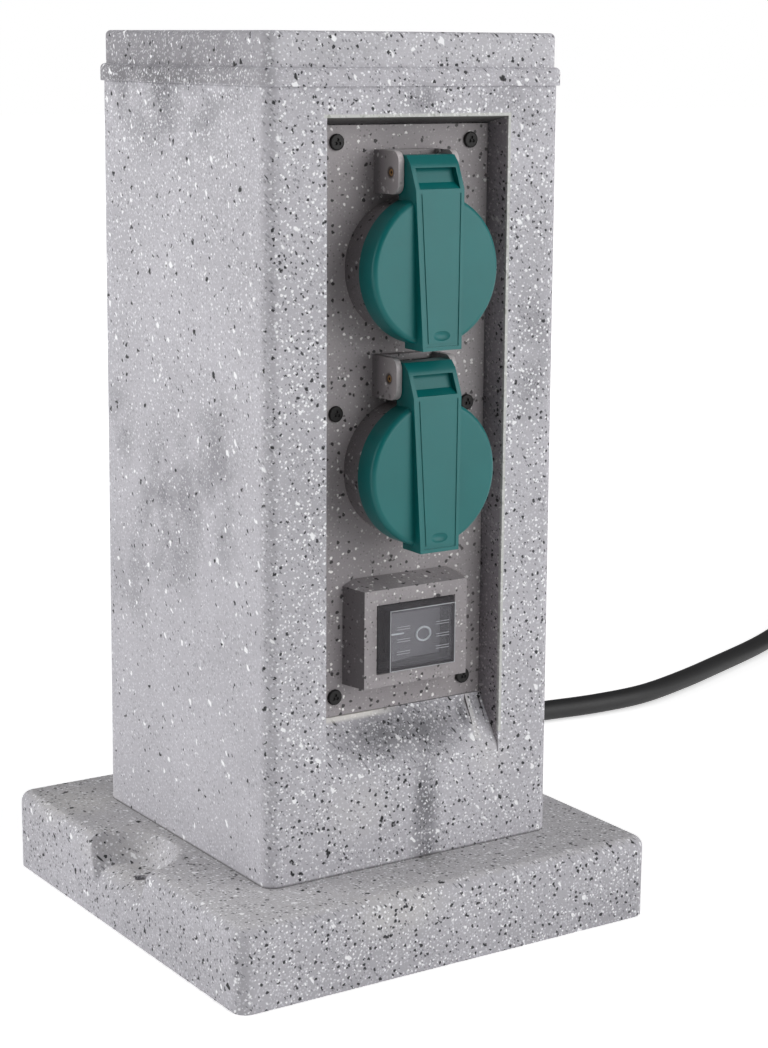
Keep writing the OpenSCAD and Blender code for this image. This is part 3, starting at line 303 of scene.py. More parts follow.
# Layers of chips: strength on the front, strength elsewhere, colour, then the chips
LEAN = (0.62, 0.55, 0.0)
CHIPS = [
    (0.45, 0.40, (222, 222, 227),
     dict(cell=1.1, share=0.85, size=(0.25, 0.52), wobble=0, move=3.0)),
    (0.60, 0.40, (104, 104, 109),
     dict(cell=1.5, share=0.75, size=(0.16, 0.38), wobble=0, stretch=(1.2, 1.2, 0.40), turn=LEAN,
          move=91.0)),
    (0.90, 0.78, (240, 240, 243),
     dict(cell=1.8, share=0.60, size=(0.16, 0.36), wobble=0.5, move=11.0)),
    (0.88, 0.30, (246, 246, 248),
     dict(cell=1.7, share=0.52, size=(0.16, 0.38), wobble=0.5, move=17.0)),
    (0.95, 0.95, (245, 245, 247),
     dict(cell=3.8, share=0.34, size=(0.12, 0.30), wobble=0.6, stretch=(1, 1, 0.5), turn=LEAN,
          move=23.0)),
    (0.95, 0.10, (38, 38, 42),
     dict(cell=2.6, share=0.30, size=(0.14, 0.33), wobble=0.5, move=37.0)),
    (0.95, 0.00, (32, 32, 35),
     dict(cell=2.3, share=0.40, size=(0.14, 0.35), wobble=0.6, move=51.0)),
    (0.92, 0.95, (40, 40, 44),
     dict(cell=3.4, share=0.26, size=(0.12, 0.26), wobble=0.3, stretch=(1.5, 1.5, 0.34), turn=LEAN,
          move=67.0)),
    (0.97, 0.97, (28, 28, 30),
     dict(cell=5.0, share=0.38, size=(0.11, 0.25), wobble=0.7, move=83.0)),
]
PALE_FROM = 128
SILL_CHIPS = dict(cell=2.1, share=0.60, size=(0.15, 0.36), wobble=0.5, move=131.0)


def recess_masks(n):
    """Where the stone lies in the front's recess, and where it faces sideways or down there."""
    x, y, z = n.axes(n.at)
    nx, _, nz = n.axes(n.facing)
    inside = n.product(n.below(n.size(x), RECESS_HALF_W), n.within(y, *RECESS_Y), n.within(z, *RECESS_Z))
    turned = n.between(n.math("MAXIMUM", n.size(nx), n.math("MULTIPLY", nz, -1)), 0.5, 0.8)
    return inside, n.math("MULTIPLY", inside, turned)


def stone_ground(n, grain):
    cloud = n.noise(n.at, 0.018, 4.0, 0.55, 0.4).outputs[0]
    colour = n.mix(n.between(cloud, 0.3, 0.7), times(STONE, 0.90), times(STONE, 1.07))
    return n.mix(n.between(grain, 0.3, 0.7, 0, 0.25), colour, STONE_GRAIN)


def stone_dirt_and_shade(n, colour, inside):
    """Stains, dirt and painted shade: painted shade on the left side of the cap, and a painted highlight on
    the rib on the sill.
    """
    x, y, z = n.axes(n.at)
    nx = n.axes(n.facing)[0]
    # Stains, and painted shade on the left side below the cap
    for middle, reach, depth in STAINS_AND_SHADE:
        colour = n.mix(n.math("MULTIPLY", n.stain(middle, reach), depth), colour, GRIME_AND_SHADE)
    # Painted shade on the cap's left side, deeper towards the back
    cap_left_shade = n.product(n.between(z, *CAP_SEAM), n.between(nx, *FACES), n.between(y, -64, -30, 0.26, 0.50))
    colour = n.mix(cap_left_shade, colour, WARM_SHADE_AND_TONE)
    # Dirt, with painted shade beside the sill's rib
    for middle, reach, depth in DIRT_AND_SHADE:
        colour = n.mix(n.math("MULTIPLY", n.stain(middle, reach, DIRT_AND_SHADE_LEAST), depth), colour, GRIME_AND_SHADE)
    # Painted highlight on the rib on the sill
    sides = [n.between(x, *fade) for fade in SILL_RIB_SIDES]
    rib = n.product(*sides, n.within(z, SILL_RIB_FROM, SILL_TOP), inside)
    return n.mix(n.math("MULTIPLY", rib, 0.35), colour, linear(226, 224, 220))


def stone_light_and_tone(n, colour):
    """Painted light on the base's top and on the front of the cap's brow, paler patches and a slightly
    darker base.
    """
    z = n.axes(n.at)[2]
    _, ny, nz = n.axes(n.facing)
    base = n.below(z, BASE_TOP)
    # Painted light on the base's top
    colour = n.mix(n.product(n.between(nz, 0.6, 0.95), base, 0.24), colour, PALE_TONE)
    # Painted light in the scoop and behind it, and paler patches
    for middle, reach, depth in PALE_PATCHES:
        colour = n.mix(n.math("MULTIPLY", n.stain(middle, reach, PALE_LEAST), depth), colour, PALE_TONE)
    colour = n.mix(n.math("MULTIPLY", base, 0.09), colour, WARM_SHADE_AND_TONE)
    # Painted light on the front of the cap's brow
    brow = n.product(n.between(z, *CAP_BROW), n.between(ny, -0.5, -0.9), 0.10)
    return n.mix(brow, colour, linear(236, 236, 238))


def stone_chips(n, colour, recess):
    """Chips: bolder on the front, the base and in the recess, and mostly dark on the sill."""
    z, ny = n.axes(n.at)[2], n.axes(n.facing)[1]
    front = n.math("MAXIMUM", n.between(ny, *FACES), n.math("MULTIPLY", n.below(z, BASE_TOP), 0.8))
    front = n.math("MAXIMUM", front, recess)
    sill = n.stain(*SILL_DIRT[:2], SILL_LEAST)
    for ahead, aside, tone, layer in CHIPS:
        strength = n.between(front, 0, 1, aside, ahead)
        if tone[0] > PALE_FROM:
            strength = n.math("MULTIPLY", strength, n.between(sill, 0, 1, 1.0, 0.55))
        colour = n.mix(n.math("MULTIPLY", n.flecks(**layer), strength), colour, linear(*tone))
    return n.mix(n.product(n.flecks(**SILL_CHIPS), sill, 0.85), colour, linear(46, 46, 50))


def stone_recess(n, colour, inside, recess):
    """Painted shade in the recess, darkest on its ceiling, with a painted highlight on the lip round it and
    on a shelf below the panel.
    """
    x, y, z = n.axes(n.at)
    nz = n.axes(n.facing)[2]
    shade = n.mix(n.between(y, -55, -64), (0.38, 0.355, 0.36, 1), (0.64, 0.60, 0.605, 1))
    colour = n.mix(recess, colour, shade, "MULTIPLY")
    # Painted shade on the recess's ceiling
    dark = n.mix(n.between(y, -58, -64), linear(40, 39, 38), linear(92, 94, 88))
    colour = n.mix(n.product(inside, n.between(nz, -0.4, -0.8), 0.85), colour, dark)
    # Painted highlight on the lip and the top edge round the recess
    ahead = n.below(y, FRONT_Y)
    lip = n.product(n.between(n.apart(x, LIP_X), *LIP_FADE), n.within(z, *LIP_Z), ahead)
    brow = n.product(n.between(n.apart(z, BROW_Z), *LIP_FADE), ahead, n.below(n.size(x), BROW_HALF_W))
    colour = n.mix(n.math("MULTIPLY", n.math("MAXIMUM", lip, brow), 0.6), colour, linear(206, 208, 200))
    # Painted highlight on a shelf below the panel
    shelf = n.product(n.within(y, *SHELF_Y), n.between(z, *SHELF_Z), n.below(z, SILL_TOP),
                      n.between(x, *SHELF_X), n.between(nz, 0.1, 0.4))
    return n.mix(n.math("MULTIPLY", shelf, 0.8), colour, linear(222, 219, 214))


def stone():
    n = Nodes("stone")
    grain = n.noise(n.at, 1.5, 3.0, 0.7).outputs[0]
    inside, recess = recess_masks(n)
    colour = stone_dirt_and_shade(n, stone_ground(n, grain), inside)
    colour = stone_chips(n, stone_light_and_tone(n, colour), recess)
    colour = stone_recess(n, colour, inside, recess)
    z = n.axes(n.at)[2]
    # Painted shade: a dark band on the post's foot where it meets the base
    foot = n.product(n.between(z, *FOOT_FADE), n.within(z, *FOOT_Z))
    colour = n.mix(n.math("MULTIPLY", foot, 0.7), colour, linear(62, 60, 58))
    n.bump(n.noise(n.at, 0.9, 4.0, 0.6).outputs[0], 0.12, 0.0004)
    return n.set(Base_Color=colour, Roughness=n.between(grain, 0.3, 0.7, 0.62, 0.78), Specular_IOR_Level=0.3)


# Panel and hinge pins
PIN_OUT, PIN_LEVELS = -65.4, (296.3, 221.3)
EAR_REACH, EAR_X, EAR_Y = 8.2, (10.65, 14.2), (-57, -69)
# Layers of chips: strength, colour, then the chips
PANEL_CHIPS = [
    (0.45, (196, 193, 193), dict(cell=1.3, share=0.50, size=(0.16, 0.40), wobble=0, move=19.0)),
    (0.95, (240, 238, 237), dict(cell=2.6, share=0.34, size=(0.13, 0.34), move=15.0)),
    (0.95, (240, 238, 237), dict(cell=3.6, share=0.50, size=(0.11, 0.28), wobble=0.35, move=5.0)),
    (0.45, (92, 88, 90), dict(cell=1.4, share=0.40, size=(0.16, 0.38), wobble=0, move=49.0)),
    (0.95, (44, 41, 43), dict(cell=2.6, share=0.34, size=(0.14, 0.34), move=41.0)),
    (0.96, (40, 37, 39), dict(cell=4.6, share=0.46, size=(0.11, 0.26), wobble=0.4, move=29.0)),
]


def from_pins(n):
    """Distance from the nearer hinge pin's axis."""
    flat = n.vector("MULTIPLY", n.at, (0, 1, 1))
    away = [n.vector("LENGTH", n.vector("SUBTRACT", flat, (0, PIN_OUT, level))) for level in PIN_LEVELS]
    return n.math("MINIMUM", *away)


def panel_stone():
    """Darker stone, with painted shade on what faces left and towards the right, painted light on the ears
    and painted shade in the gaps round the pins.
    """
    n = Nodes("panel_stone")
    x, y, z = n.axes(n.at)
    nx = n.axes(n.facing)[0]
    aside = n.size(x)
    grain = n.noise(n.at, 1.2, 3.0, 0.7).outputs[0]
    cloud = n.noise(n.at, 0.03, 3.0, 0.5).outputs[0]
    colour = n.mix(n.between(cloud, 0.3, 0.7), linear(146, 141, 144), linear(162, 157, 159))
    colour = n.mix(n.between(grain, 0.35, 0.65, 0, 0.25), colour, linear(128, 123, 123))
    for strength, tone, layer in PANEL_CHIPS:
        colour = n.mix(n.math("MULTIPLY", n.flecks(**layer), strength), colour, linear(*tone))
    level = n.math("MINIMUM", *(n.apart(z, up) for up in PIN_LEVELS))
    ear = n.product(n.below(level, EAR_REACH), n.within(aside, *EAR_X), n.between(y, *EAR_Y))
    # Painted shade on what faces left, except on the ears
    left = n.product(n.between(nx, -0.2, -0.7, 0, 0.52), n.between(ear, 0, 1, 1, 0), n.below(x, 0))
    colour = n.mix(left, colour, linear(62, 58, 61))
    # Painted light on the ears
    colour = n.mix(n.math("MULTIPLY", ear, 0.45), colour, linear(218, 210, 210))
    # Painted shade in the gaps round the pins
    pin_gap_shade = n.product(n.between(from_pins(n), 2.5, 1.8), n.above(aside, EAR_X[0]), 0.75)
    colour = n.mix(pin_gap_shade, colour, linear(66, 50, 38))
    # Painted shade towards the right
    colour = n.mix(n.between(x, 8, 38, 0, 0.38), colour, linear(92, 88, 88))
    n.bump(n.noise(n.at, 1.1, 3.0, 0.6).outputs[0], 0.08, 0.0003)
    return n.set(Base_Color=colour, Roughness=n.between(grain, 0.3, 0.7, 0.5, 0.66), Specular_IOR_Level=0.35)


def hinge_pin():
    """Brass ring on the ends of the pins, dark elsewhere."""
    n = Nodes("hinge_pin")
    grain = n.noise(n.at, 2.0, 3.0, 0.65).outputs[0]
    away = from_pins(n)
    ring = n.product(n.between(away, 0.4, 0.7), n.between(away, 1.4, 1.2))
    brass = n.mix(n.between(grain, 0.35, 0.65), linear(150, 112, 66), linear(196, 158, 108))
    colour = n.mix(ring, linear(56, 38, 22), brass)
    return n.set(Base_Color=colour, Roughness=0.45, Metallic=0.6)


# Other materials
SHEEN_SPREAD = 0.06


def plain(name, base, rough, variation=0.12, grain_scale=2.2, bump=0.04, **more):
    """Moulded or turned surface: one colour with fine variation, grain and a worn sheen."""
    n = Nodes(name)
    cloud = n.noise(n.at, 0.05, 3.0, 0.5).outputs[0]
    grain = n.noise(n.at, grain_scale, 3.0, 0.65).outputs[0]
    dark = times(base, 1 - variation)
    colour = n.mix(n.between(cloud, 0.3, 0.7), dark, times(base, 1 + variation))
    colour = n.mix(n.between(grain, 0.4, 0.7, 0, 0.3), colour, dark)
    n.bump(grain, bump, 0.0002)
    sheen = n.between(grain, 0.3, 0.7, rough - SHEEN_SPREAD, rough + SHEEN_SPREAD)
    return n.set(Base_Color=colour, Roughness=sheen, **more)


def clear_cover():
    """Smoky clear plastic with fine lines across its front."""
    n = Nodes("clear_cover")
    front = n.between(n.size(n.axes(n.facing)[1]), 0.9, 0.99)
    lines = n.noise(n.mapped(n.at, scale=(0.05, 1, 2.2)), 1.0, 2.0).outputs[0]
    face = n.mix(n.between(lines, 0.35, 0.65), linear(140, 139, 146), linear(166, 165, 172))
    colour = n.mix(front, linear(104, 101, 105), face)
    return n.set(Base_Color=colour, Alpha=n.between(front, 0, 1, 0.45, 0.17), Roughness=0.25,
                 Specular_IOR_Level=n.between(front, 0, 1, 0.2, 0.4))


MATERIALS = {
    "stone": stone(),
    "panel": panel_stone(),
    "lid": plain("lid_green", linear(0, 98, 97), 0.38, 0.06, 2.5, 0.03, Specular_IOR_Level=0.37,
                 Specular_Tint=(0.9, 0.98, 1.0, 1.0)),
    "black_screw": plain("black_screw", linear(22, 21, 21), 0.5, 0.2, Specular_IOR_Level=0.25),
    "steel": plain("steel", linear(176, 177, 180), 0.32, 0.1, 3.0, 0.05, Metallic=1.0),
    "brass": plain("brass", linear(150, 112, 62), 0.42, 0.25, 2.0, 0.1, Metallic=0.9),
    "dark_plastic": plain("dark_plastic", linear(44, 44, 46), 0.45),
    "clear": clear_cover(),
    "seal_rubber": plain("seal_rubber", linear(30, 30, 31), 0.7, 0.15, 2.5, 0.1),
    "lead_rubber": plain("lead_rubber", linear(30, 30, 31), 0.55, 0.15, 1.6, 0.1),
    "tie": plain("tie", linear(40, 40, 42), 0.4),
    "block": plain("block", linear(214, 211, 200), 0.45),
    "brown_wire": plain("brown_wire", linear(92, 56, 34), 0.4),
    "blue_wire": plain("blue_wire", linear(34, 84, 160), 0.4),
    "green_wire": plain("green_wire", linear(120, 150, 52), 0.4),
}
MARK = plain("mark_white", linear(238, 245, 252), 0.5, 0.04)
PIN = hinge_pin()
ROCKER = plain("rocker_grey", linear(112, 111, 117), 0.5)
COVER_HIGHLIGHT = plain("cover_edge_highlight", linear(178, 180, 184), 0.3, 0.05)

SLOT_OF = {row["node"]: row["material_slot"] for row in frame["record"]["subparts"]}
BODY_OF = {n: body for body, group in frame["record"]["behaviour"]["bodies"].items() for n in group}

for node, obj in frame["nodes"].items():
    for slot in obj.material_slots:
        slot.material = PIN if "hinge_pin" in node else MATERIALS[SLOT_OF[node]]


# Making of pieces
CRISP, BASE_CRISP = 35, 40


def wear(obj, material):
    obj.data.materials.clear()
    obj.data.materials.append(material)


def keep(obj, body, slot, material=None):
    """Gives a new piece the material of its slot, or the one given, and the body that it rides on."""
    wear(obj, material or MATERIALS[slot])
    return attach(obj, body)


def placed(name, data):
    """A new object in the scene."""
    obj = bpy.data.objects.new(name, data)
    scene.collection.objects.link(obj)
    return obj


def made_of(bm, name):
    """A new object of a finished mesh."""
    mesh = bpy.data.meshes.new(name)
    bm.to_mesh(mesh)
    bm.free()
    return placed(name, mesh)


def finish_faces(obj, angle=CRISP):
    """Smooth faces with crisp edges where they turn sharply."""
    for poly in obj.data.polygons:
        poly.use_smooth = True
    obj.data.set_sharp_from_angle(angle=math.radians(angle))
    even = obj.modifiers.new("even_normals", "WEIGHTED_NORMAL")
    even.keep_sharp = True


def bevel(bm, edges, radius, segments=2):
    bmesh.ops.bevel(bm, geom=edges, offset=radius * MM, offset_type="OFFSET", segments=segments, profile=0.5,
                    affect="EDGES", clamp_overlap=True)


def join_loops(bm, low, high):
    """Strip of faces between two closed loops of points."""
    count = len(low)
    for k in range(count):
        bm.faces.new((low[k], low[(k + 1) % count], high[(k + 1) % count], high[k]))


def wire(name, lines, radius, closed=False, sides=3):
    """Round wires along lists of points in metres."""
    data = bpy.data.curves.new(name, "CURVE")
    data.dimensions = "3D"
    data.bevel_depth = radius
    data.bevel_resolution = sides
    data.use_fill_caps = not closed
    for line in lines:
        spline = data.splines.new("POLY")
        spline.points.add(len(line) - 1)
        for point, p in zip(spline.points, line):
            point.co = (*p, 1)
        spline.use_cyclic_u = closed
        spline.use_smooth = True
    return placed(name, data)


# Lead: the free stretch, then a coil that winds inwards on the floor and back outwards on top
CORD_R = 5.0
CORD_ROUTE = [
    (0, 110, 48), (0, 118, 48), (1, 128, 47.6), (6, 142, 45), (15, 154, 40), (29, 163, 33),
    (47, 168, 25), (68, 170, 17), (91, 169, 11), (115, 166, 7.2), (141, 160, 5.4), (170, 153, 5.2),
    (200, 147, 5.2), (228, 143, 5.2), (254, 140, 5.2), (286, 141, 5.2), (322, 151, 5.2), (360, 165, 5.2),
    (403, 182, 5.2), (436, 198, 5.4),
]
ROUTE_STEPS, RUN_IN = 6, 14
COIL_MIDDLE = (524.0, 171.0)
COIL_R, COIL_STEP, COIL_FROM = 66.0, 10.8, 120.0
COIL_ANGLE = 360 * 2.5
COIL_HALF, COIL_CHANGE, COIL_PITCH = COIL_ANGLE / 2, 90, 5
COIL_LOW, COIL_HIGH, PLUG_Z = 6.0, 16.6, 18.8


def ease(t):
    u = min(max(t, 0.0), 1.0)
    return u * u * (3 - 2 * u)


def wound_in(a):
    """Angle by which the coil is wound inwards, with a smooth change from inwards to outwards."""
    if a < COIL_HALF - COIL_CHANGE:
        return a
    if a > COIL_HALF + COIL_CHANGE:
        return COIL_ANGLE - a
    return COIL_HALF - COIL_CHANGE / 2 - (a - COIL_HALF) ** 2 / (2 * COIL_CHANGE)


def coil_at(a):
    r = COIL_R - COIL_STEP * wound_in(a) / 360
    t = math.radians(COIL_FROM - a)
    climb = (COIL_HIGH - COIL_LOW) * ease((a - COIL_HALF + COIL_CHANGE) / (2 * COIL_CHANGE))
    lift = (PLUG_Z - COIL_HIGH) * ease((a - COIL_ANGLE + COIL_CHANGE) / COIL_CHANGE)
    x, y = COIL_MIDDLE
    return Vector((x + r * math.cos(t), y + r * math.sin(t), COIL_LOW + climb + lift))


def coil_heading(a):
    t = math.radians(COIL_FROM - a)
    return Vector((math.sin(t), -math.cos(t), 0))


def smooth(points, steps):
    """Points of a smooth curve through the given points."""
    p = [Vector(v) for v in points]
    p = [2 * p[0] - p[1]] + p + [2 * p[-1] - p[-2]]
    line = []
    for a, b, c, d in zip(p, p[1:], p[2:], p[3:]):
        for k in range(steps):
            t = k / steps
            bend = (2 * a - 5 * b + 4 * c - d) * t**2 + (3 * b - a - 3 * c + d) * t**3
            line.append(0.5 * (2 * b + (c - a) * t + bend))
    return line + [p[-2]]


def lead_line():
    start = coil_at(0) - 2 * CORD_R * coil_heading(0)
    end = coil_at(COIL_ANGLE) + 2 * CORD_R * coil_heading(COIL_ANGLE)
    free = smooth(CORD_ROUTE + [start - RUN_IN * coil_heading(0), start], ROUTE_STEPS)
    turns = [coil_at(a) for a in range(0, int(COIL_ANGLE) + 1, COIL_PITCH)]
    return free + turns + [end]


def make_lead():
    line = [p * MM for p in lead_line()]
    obj = wire("mains_lead", [line], CORD_R * MM, sides=7)
    keep(obj, "post", "lead_rubber")
    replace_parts(obj, "mains_cord", "cord_coil")
    length = sum((b - a).length for a, b in zip(line, line[1:]))
    return obj, line[0], length


lead, lead_exit, lead_length = make_lead()

TIE_ANGLE, TIE_W = 600.0, 8.0
TIE_IN, TIE_OUT = CORD_R + 0.2, CORD_R + 0.75


def make_tie():
    """Band that lies snugly round the two turns of the coil."""
    low, high = coil_at(TIE_ANGLE - 360), coil_at(TIE_ANGLE)
    middle = Vector((*COIL_MIDDLE, 0))
    along, out = coil_heading(TIE_ANGLE), (high - middle) * Vector((1, 1, 0))
    out.normalize()
    lean = math.atan2(high.z - low.z, (high - middle).dot(out) - (low - middle).dot(out))
    outline = [(high, lean + math.radians(a)) for a in range(-90, 91, 10)]
    outline += [(low, lean + math.radians(a)) for a in range(90, 271, 10)]
    bm = bmesh.new()
    loops = []
    for side, skin in ((-0.5, TIE_IN), (0.5, TIE_IN), (0.5, TIE_OUT), (-0.5, TIE_OUT)):
        loops.append([bm.verts.new(
            (c + skin * (math.cos(a) * out + Vector((0, 0, math.sin(a)))) + side * TIE_W * along) * MM
        ) for c, a in outline])
    for loop, following in zip(loops, loops[1:] + loops[:1]):
        join_loops(bm, loop, following)
    bmesh.ops.recalc_face_normals(bm, faces=bm.faces)
    obj = made_of(bm, "cord_tie_band")
    finish_faces(obj)
    keep(obj, "post", "tie")
    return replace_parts(obj, "cord_tie")


# Mouldings: each CAD shape with its sharp edges rounded, by these radii
SHARP, FLAT, SAME_POINT = math.radians(28), math.radians(0.4), 1e-6
ROUNDINGS = {
    "post_shell": 0.7, "top_cap": 0.5, "front_panel": 0.5, "panel_screws": 0.15,
    "upper_socket_insert": 0.3, "lower_socket_insert": 0.3, "upper_lid": 0.45, "lower_lid": 0.45,
    "switch_body": 0.3, "switch_rocker": 0.4, "strain_relief": 0.3,
    "plug_body": 0.6, "plug_pins": 0.15, "plug_earth_strips": 0.15,
}


def rounded(node, radius):
    """A copy of a node's shape, with flat faces joined and sharp edges rounded, that stands for the node."""
    mesh = frame["nodes"][node].data.copy()
    bm = bmesh.new()
    bm.from_mesh(mesh)
    bmesh.ops.remove_doubles(bm, verts=bm.verts, dist=SAME_POINT)
    bmesh.ops.dissolve_limit(bm, angle_limit=FLAT, verts=bm.verts, edges=bm.edges)
    bevel(bm, [e for e in bm.edges if len(e.link_faces) == 2 and e.calc_face_angle(0) > SHARP], radius)
    bm.to_mesh(mesh)
    bm.free()
    obj = placed(f"{node}_moulding", mesh)
    finish_faces(obj)
    keep(obj, BODY_OF[node], SLOT_OF[node])
    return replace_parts(obj, node)


mouldings = {node: rounded(node, radius) for node, radius in ROUNDINGS.items()}
wear(mouldings["switch_rocker"], ROCKER)

([mouldings[k] for k in ("strain_relief", "plug_body", "plug_pins", "plug_earth_strips")]
    + [make_tie(), frame["nodes"]["supply_tail"]])


# Base: one skin of rings, with soft dishes at the two sides
BASE_W, BASE_R, BASE_EDGE, BASE_WALL = 188.0, 6.0, 4.5, 4.0
# Smallest corner radius of a ring, which is also how near points are joined
LEAST_R = 0.02
FOOT_EDGE, INNER_EDGE = 0.4, 0.3
DISH_DEPTH, DISH_EDGE = 11.5, 10.5
# Radii of the dish's floor and rim behind and in front of its middle
DISH_REAR, DISH_FRONT = (20.0, 26.0), (14.0, 23.5)
DISH_BLEND = 30
SIDE_STEPS, CORNER_STEPS = 96, 8
RING_INSETS = [0, 0.15, 0.45, 0.9, 1.5, 2.2, 3, 3.8, 4.6, 5.6, 6.6, 7.6, 8.6, 9.6]
RING_INSETS += [10.6 + 1.5 * i for i in range(14)]
# Places, spans in height and radii of the bosses and holes
FIX_X, FIX_SPAN, FIX_R = 84.2, (-5, 40), 2.5
BOSS_SPAN, BOSS_R = (0, 19), 6.0
SCREW_AT, SCREW_SPAN, SCREW_R = 56.4, (20, 40), 2.15
CLAMP_X, CLAMP_Y, CLAMP_SPAN, CLAMP_R = 11.5, 43.3, (BASE_H, 50), 1.55
PILLAR = ((-16, 39.3, 30), (16, 47.3, 42.9))
ROD_SIDES = 40


def base_ring(inset):
    """Outline of the base, set in by a distance."""
    r = max(BASE_R - inset, LEAST_R)
    c = BASE_W / 2 - inset - r
    quarter = [(c + r, c * (2 * i / SIDE_STEPS - 1)) for i in range(SIDE_STEPS)]
    quarter += [(c + r * math.cos(a), c + r * math.sin(a))
                for a in (math.pi / 2 * i / CORNER_STEPS for i in range(CORNER_STEPS))]
    turns = ((1, 0), (0, 1), (-1, 0), (0, -1))
    return [(c * x - s * y, s * x + c * y) for c, s in turns for x, y in quarter]


def dish(x, y):
    """Share of the dish's depth at a place."""
    away = min(math.hypot(x - side * BASE_W / 2, y) for side in (-1, 1))
    ahead = ease(0.5 - y / DISH_BLEND)
    floor_r, rim_r = (a + (b - a) * ahead for a, b in zip(DISH_REAR, DISH_FRONT))
    return 1 - ease((away - floor_r) / (rim_r - floor_r))


def base_top(inset):
    """Ring on the base's outside, which falls off round at the edge and into the dishes."""
    ring = []
    for x, y in base_ring(inset):
        share = dish(x, y)
        e = BASE_EDGE + (DISH_EDGE - BASE_EDGE) * share
        fall = e - math.sqrt(e * e - (e - inset) ** 2) if inset < e else 0.0
        ring.append((x, y, BASE_H - DISH_DEPTH * share - fall))
    return ring


def base_ceiling(inset):
    """Ring on the underside of the base's top."""
    return [(x, y, BASE_H - BASE_WALL - DISH_DEPTH * dish(x, y)) for x, y in base_ring(inset)]


def base_skin():
    def flat(inset, z):
        return [(x, y, z) for x, y in base_ring(inset)]

    rings = [base_ceiling(i) for i in reversed([i for i in RING_INSETS if i > BASE_WALL])]
    rings += [base_ceiling(BASE_WALL), flat(BASE_WALL, INNER_EDGE), flat(BASE_WALL - INNER_EDGE, 0)]
    rings += [flat(FOOT_EDGE, 0), flat(0, FOOT_EDGE)]
    rings += [base_top(i) for i in RING_INSETS]
    bm = bmesh.new()
    loops = [[bm.verts.new(mm(*p)) for p in ring] for ring in rings]
    for low, high in zip(loops, loops[1:]):
        join_loops(bm, low, high)
    bm.faces.new(list(reversed(loops[0])))
    bm.faces.new(loops[-1])
    bmesh.ops.remove_doubles(bm, verts=bm.verts, dist=LEAST_R * MM)
    bmesh.ops.recalc_face_normals(bm, faces=bm.faces)
    return made_of(bm, "base_plinth_moulding")


def tool_mesh(rods, blocks=()):
    """Scratch object of rods (x, y, span in height, radius) and blocks (low corner, high corner)."""
    bm = bmesh.new()
    for x, y, (low, high), r in rods:
        made = bmesh.ops.create_cone(bm, cap_ends=True, segments=ROD_SIDES, radius1=r * MM, radius2=r * MM,
                                     depth=(high - low) * MM)
        bmesh.ops.translate(bm, verts=made["verts"], vec=mm(x, y, (low + high) / 2))
    for low, high in blocks:
        made = bmesh.ops.create_cube(bm, size=1.0)
        bmesh.ops.scale(bm, verts=made["verts"], vec=mm(*high) - mm(*low))
        bmesh.ops.translate(bm, verts=made["verts"], vec=(mm(*high) + mm(*low)) / 2)
    return made_of(bm, "tool")


def combine(obj, tool, operation):
    """Joins a scratch object to a piece or cuts it out, and removes the scratch object."""
    step = obj.modifiers.new("step", "BOOLEAN")
    step.object, step.operation, step.solver = tool, operation, "EXACT"
    bpy.context.view_layer.update()
    mesh = bpy.data.meshes.new_from_object(obj.evaluated_get(bpy.context.evaluated_depsgraph_get()))
    obj.modifiers.clear()
    obj.data = mesh
    bpy.data.objects.remove(tool)


def make_base():
    obj = base_skin()
    sides = (-1, 1)
    bosses = [(s * FIX_X, 0, BOSS_SPAN, BOSS_R) for s in sides]
    combine(obj, tool_mesh(bosses, [PILLAR]), "UNION")
    holes = [(s * FIX_X, 0, FIX_SPAN, FIX_R) for s in sides]
    holes += [(x * SCREW_AT, y * SCREW_AT, SCREW_SPAN, SCREW_R) for x in sides for y in sides]
    holes += [(s * CLAMP_X, CLAMP_Y, CLAMP_SPAN, CLAMP_R) for s in sides]
    combine(obj, tool_mesh(holes), "DIFFERENCE")
    finish_faces(obj, BASE_CRISP)
    keep(obj, "post", "stone")
    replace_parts(obj, "base_plinth")


make_base()


# Switch: clear cover with pale wires as painted highlights along its front edge and its ribs, and the marks
# on the rocker
PANEL_Y, SWITCH_Z = -54.2, 122.7
# Half width, half height and distance from the panel of the cover's foot, shoulder and front
COVER_LEVELS = [(17.5, 13.1, 8.0), (17.5, 13.1, 11.3), (14.65, 11.65, 16.0)]
COVER_FRONT = len(COVER_LEVELS) - 1
COVER_WALL, COVER_R, COVER_SHARP = 1.1, 0.4, math.radians(15)
EDGE_SUNK, EDGE_R = 0.12, 0.24
RIB_X, RIB_L, RIB_PITCH, RIB_H, RIB_PROUD, RIB_R = 8.9, 5.9, 4.75, 0.95, 0.05, 0.11
RING_MIDDLE, RING_RADII, RING_STEPS, RING_OUT, RING_R = (5.4, -1.0), (3.2, 2.6), 48, 8.3, 0.42
BAR_X, BAR_R = (-11.6, -9.8, -8.0, -6.3, -4.6), 0.32
BAR_UP, BAR_SLANT, BAR_OUT, BAR_OUT_X, BAR_TILT = 0.35, 0.085, 8.35, 0.755, 0.249


def on_switch(x, up, out):
    return mm(x, PANEL_Y - out, SWITCH_Z + up)


def cover_corners(half_w, half_h):
    return (-half_w, -half_h), (half_w, -half_h), (half_w, half_h), (-half_w, half_h)


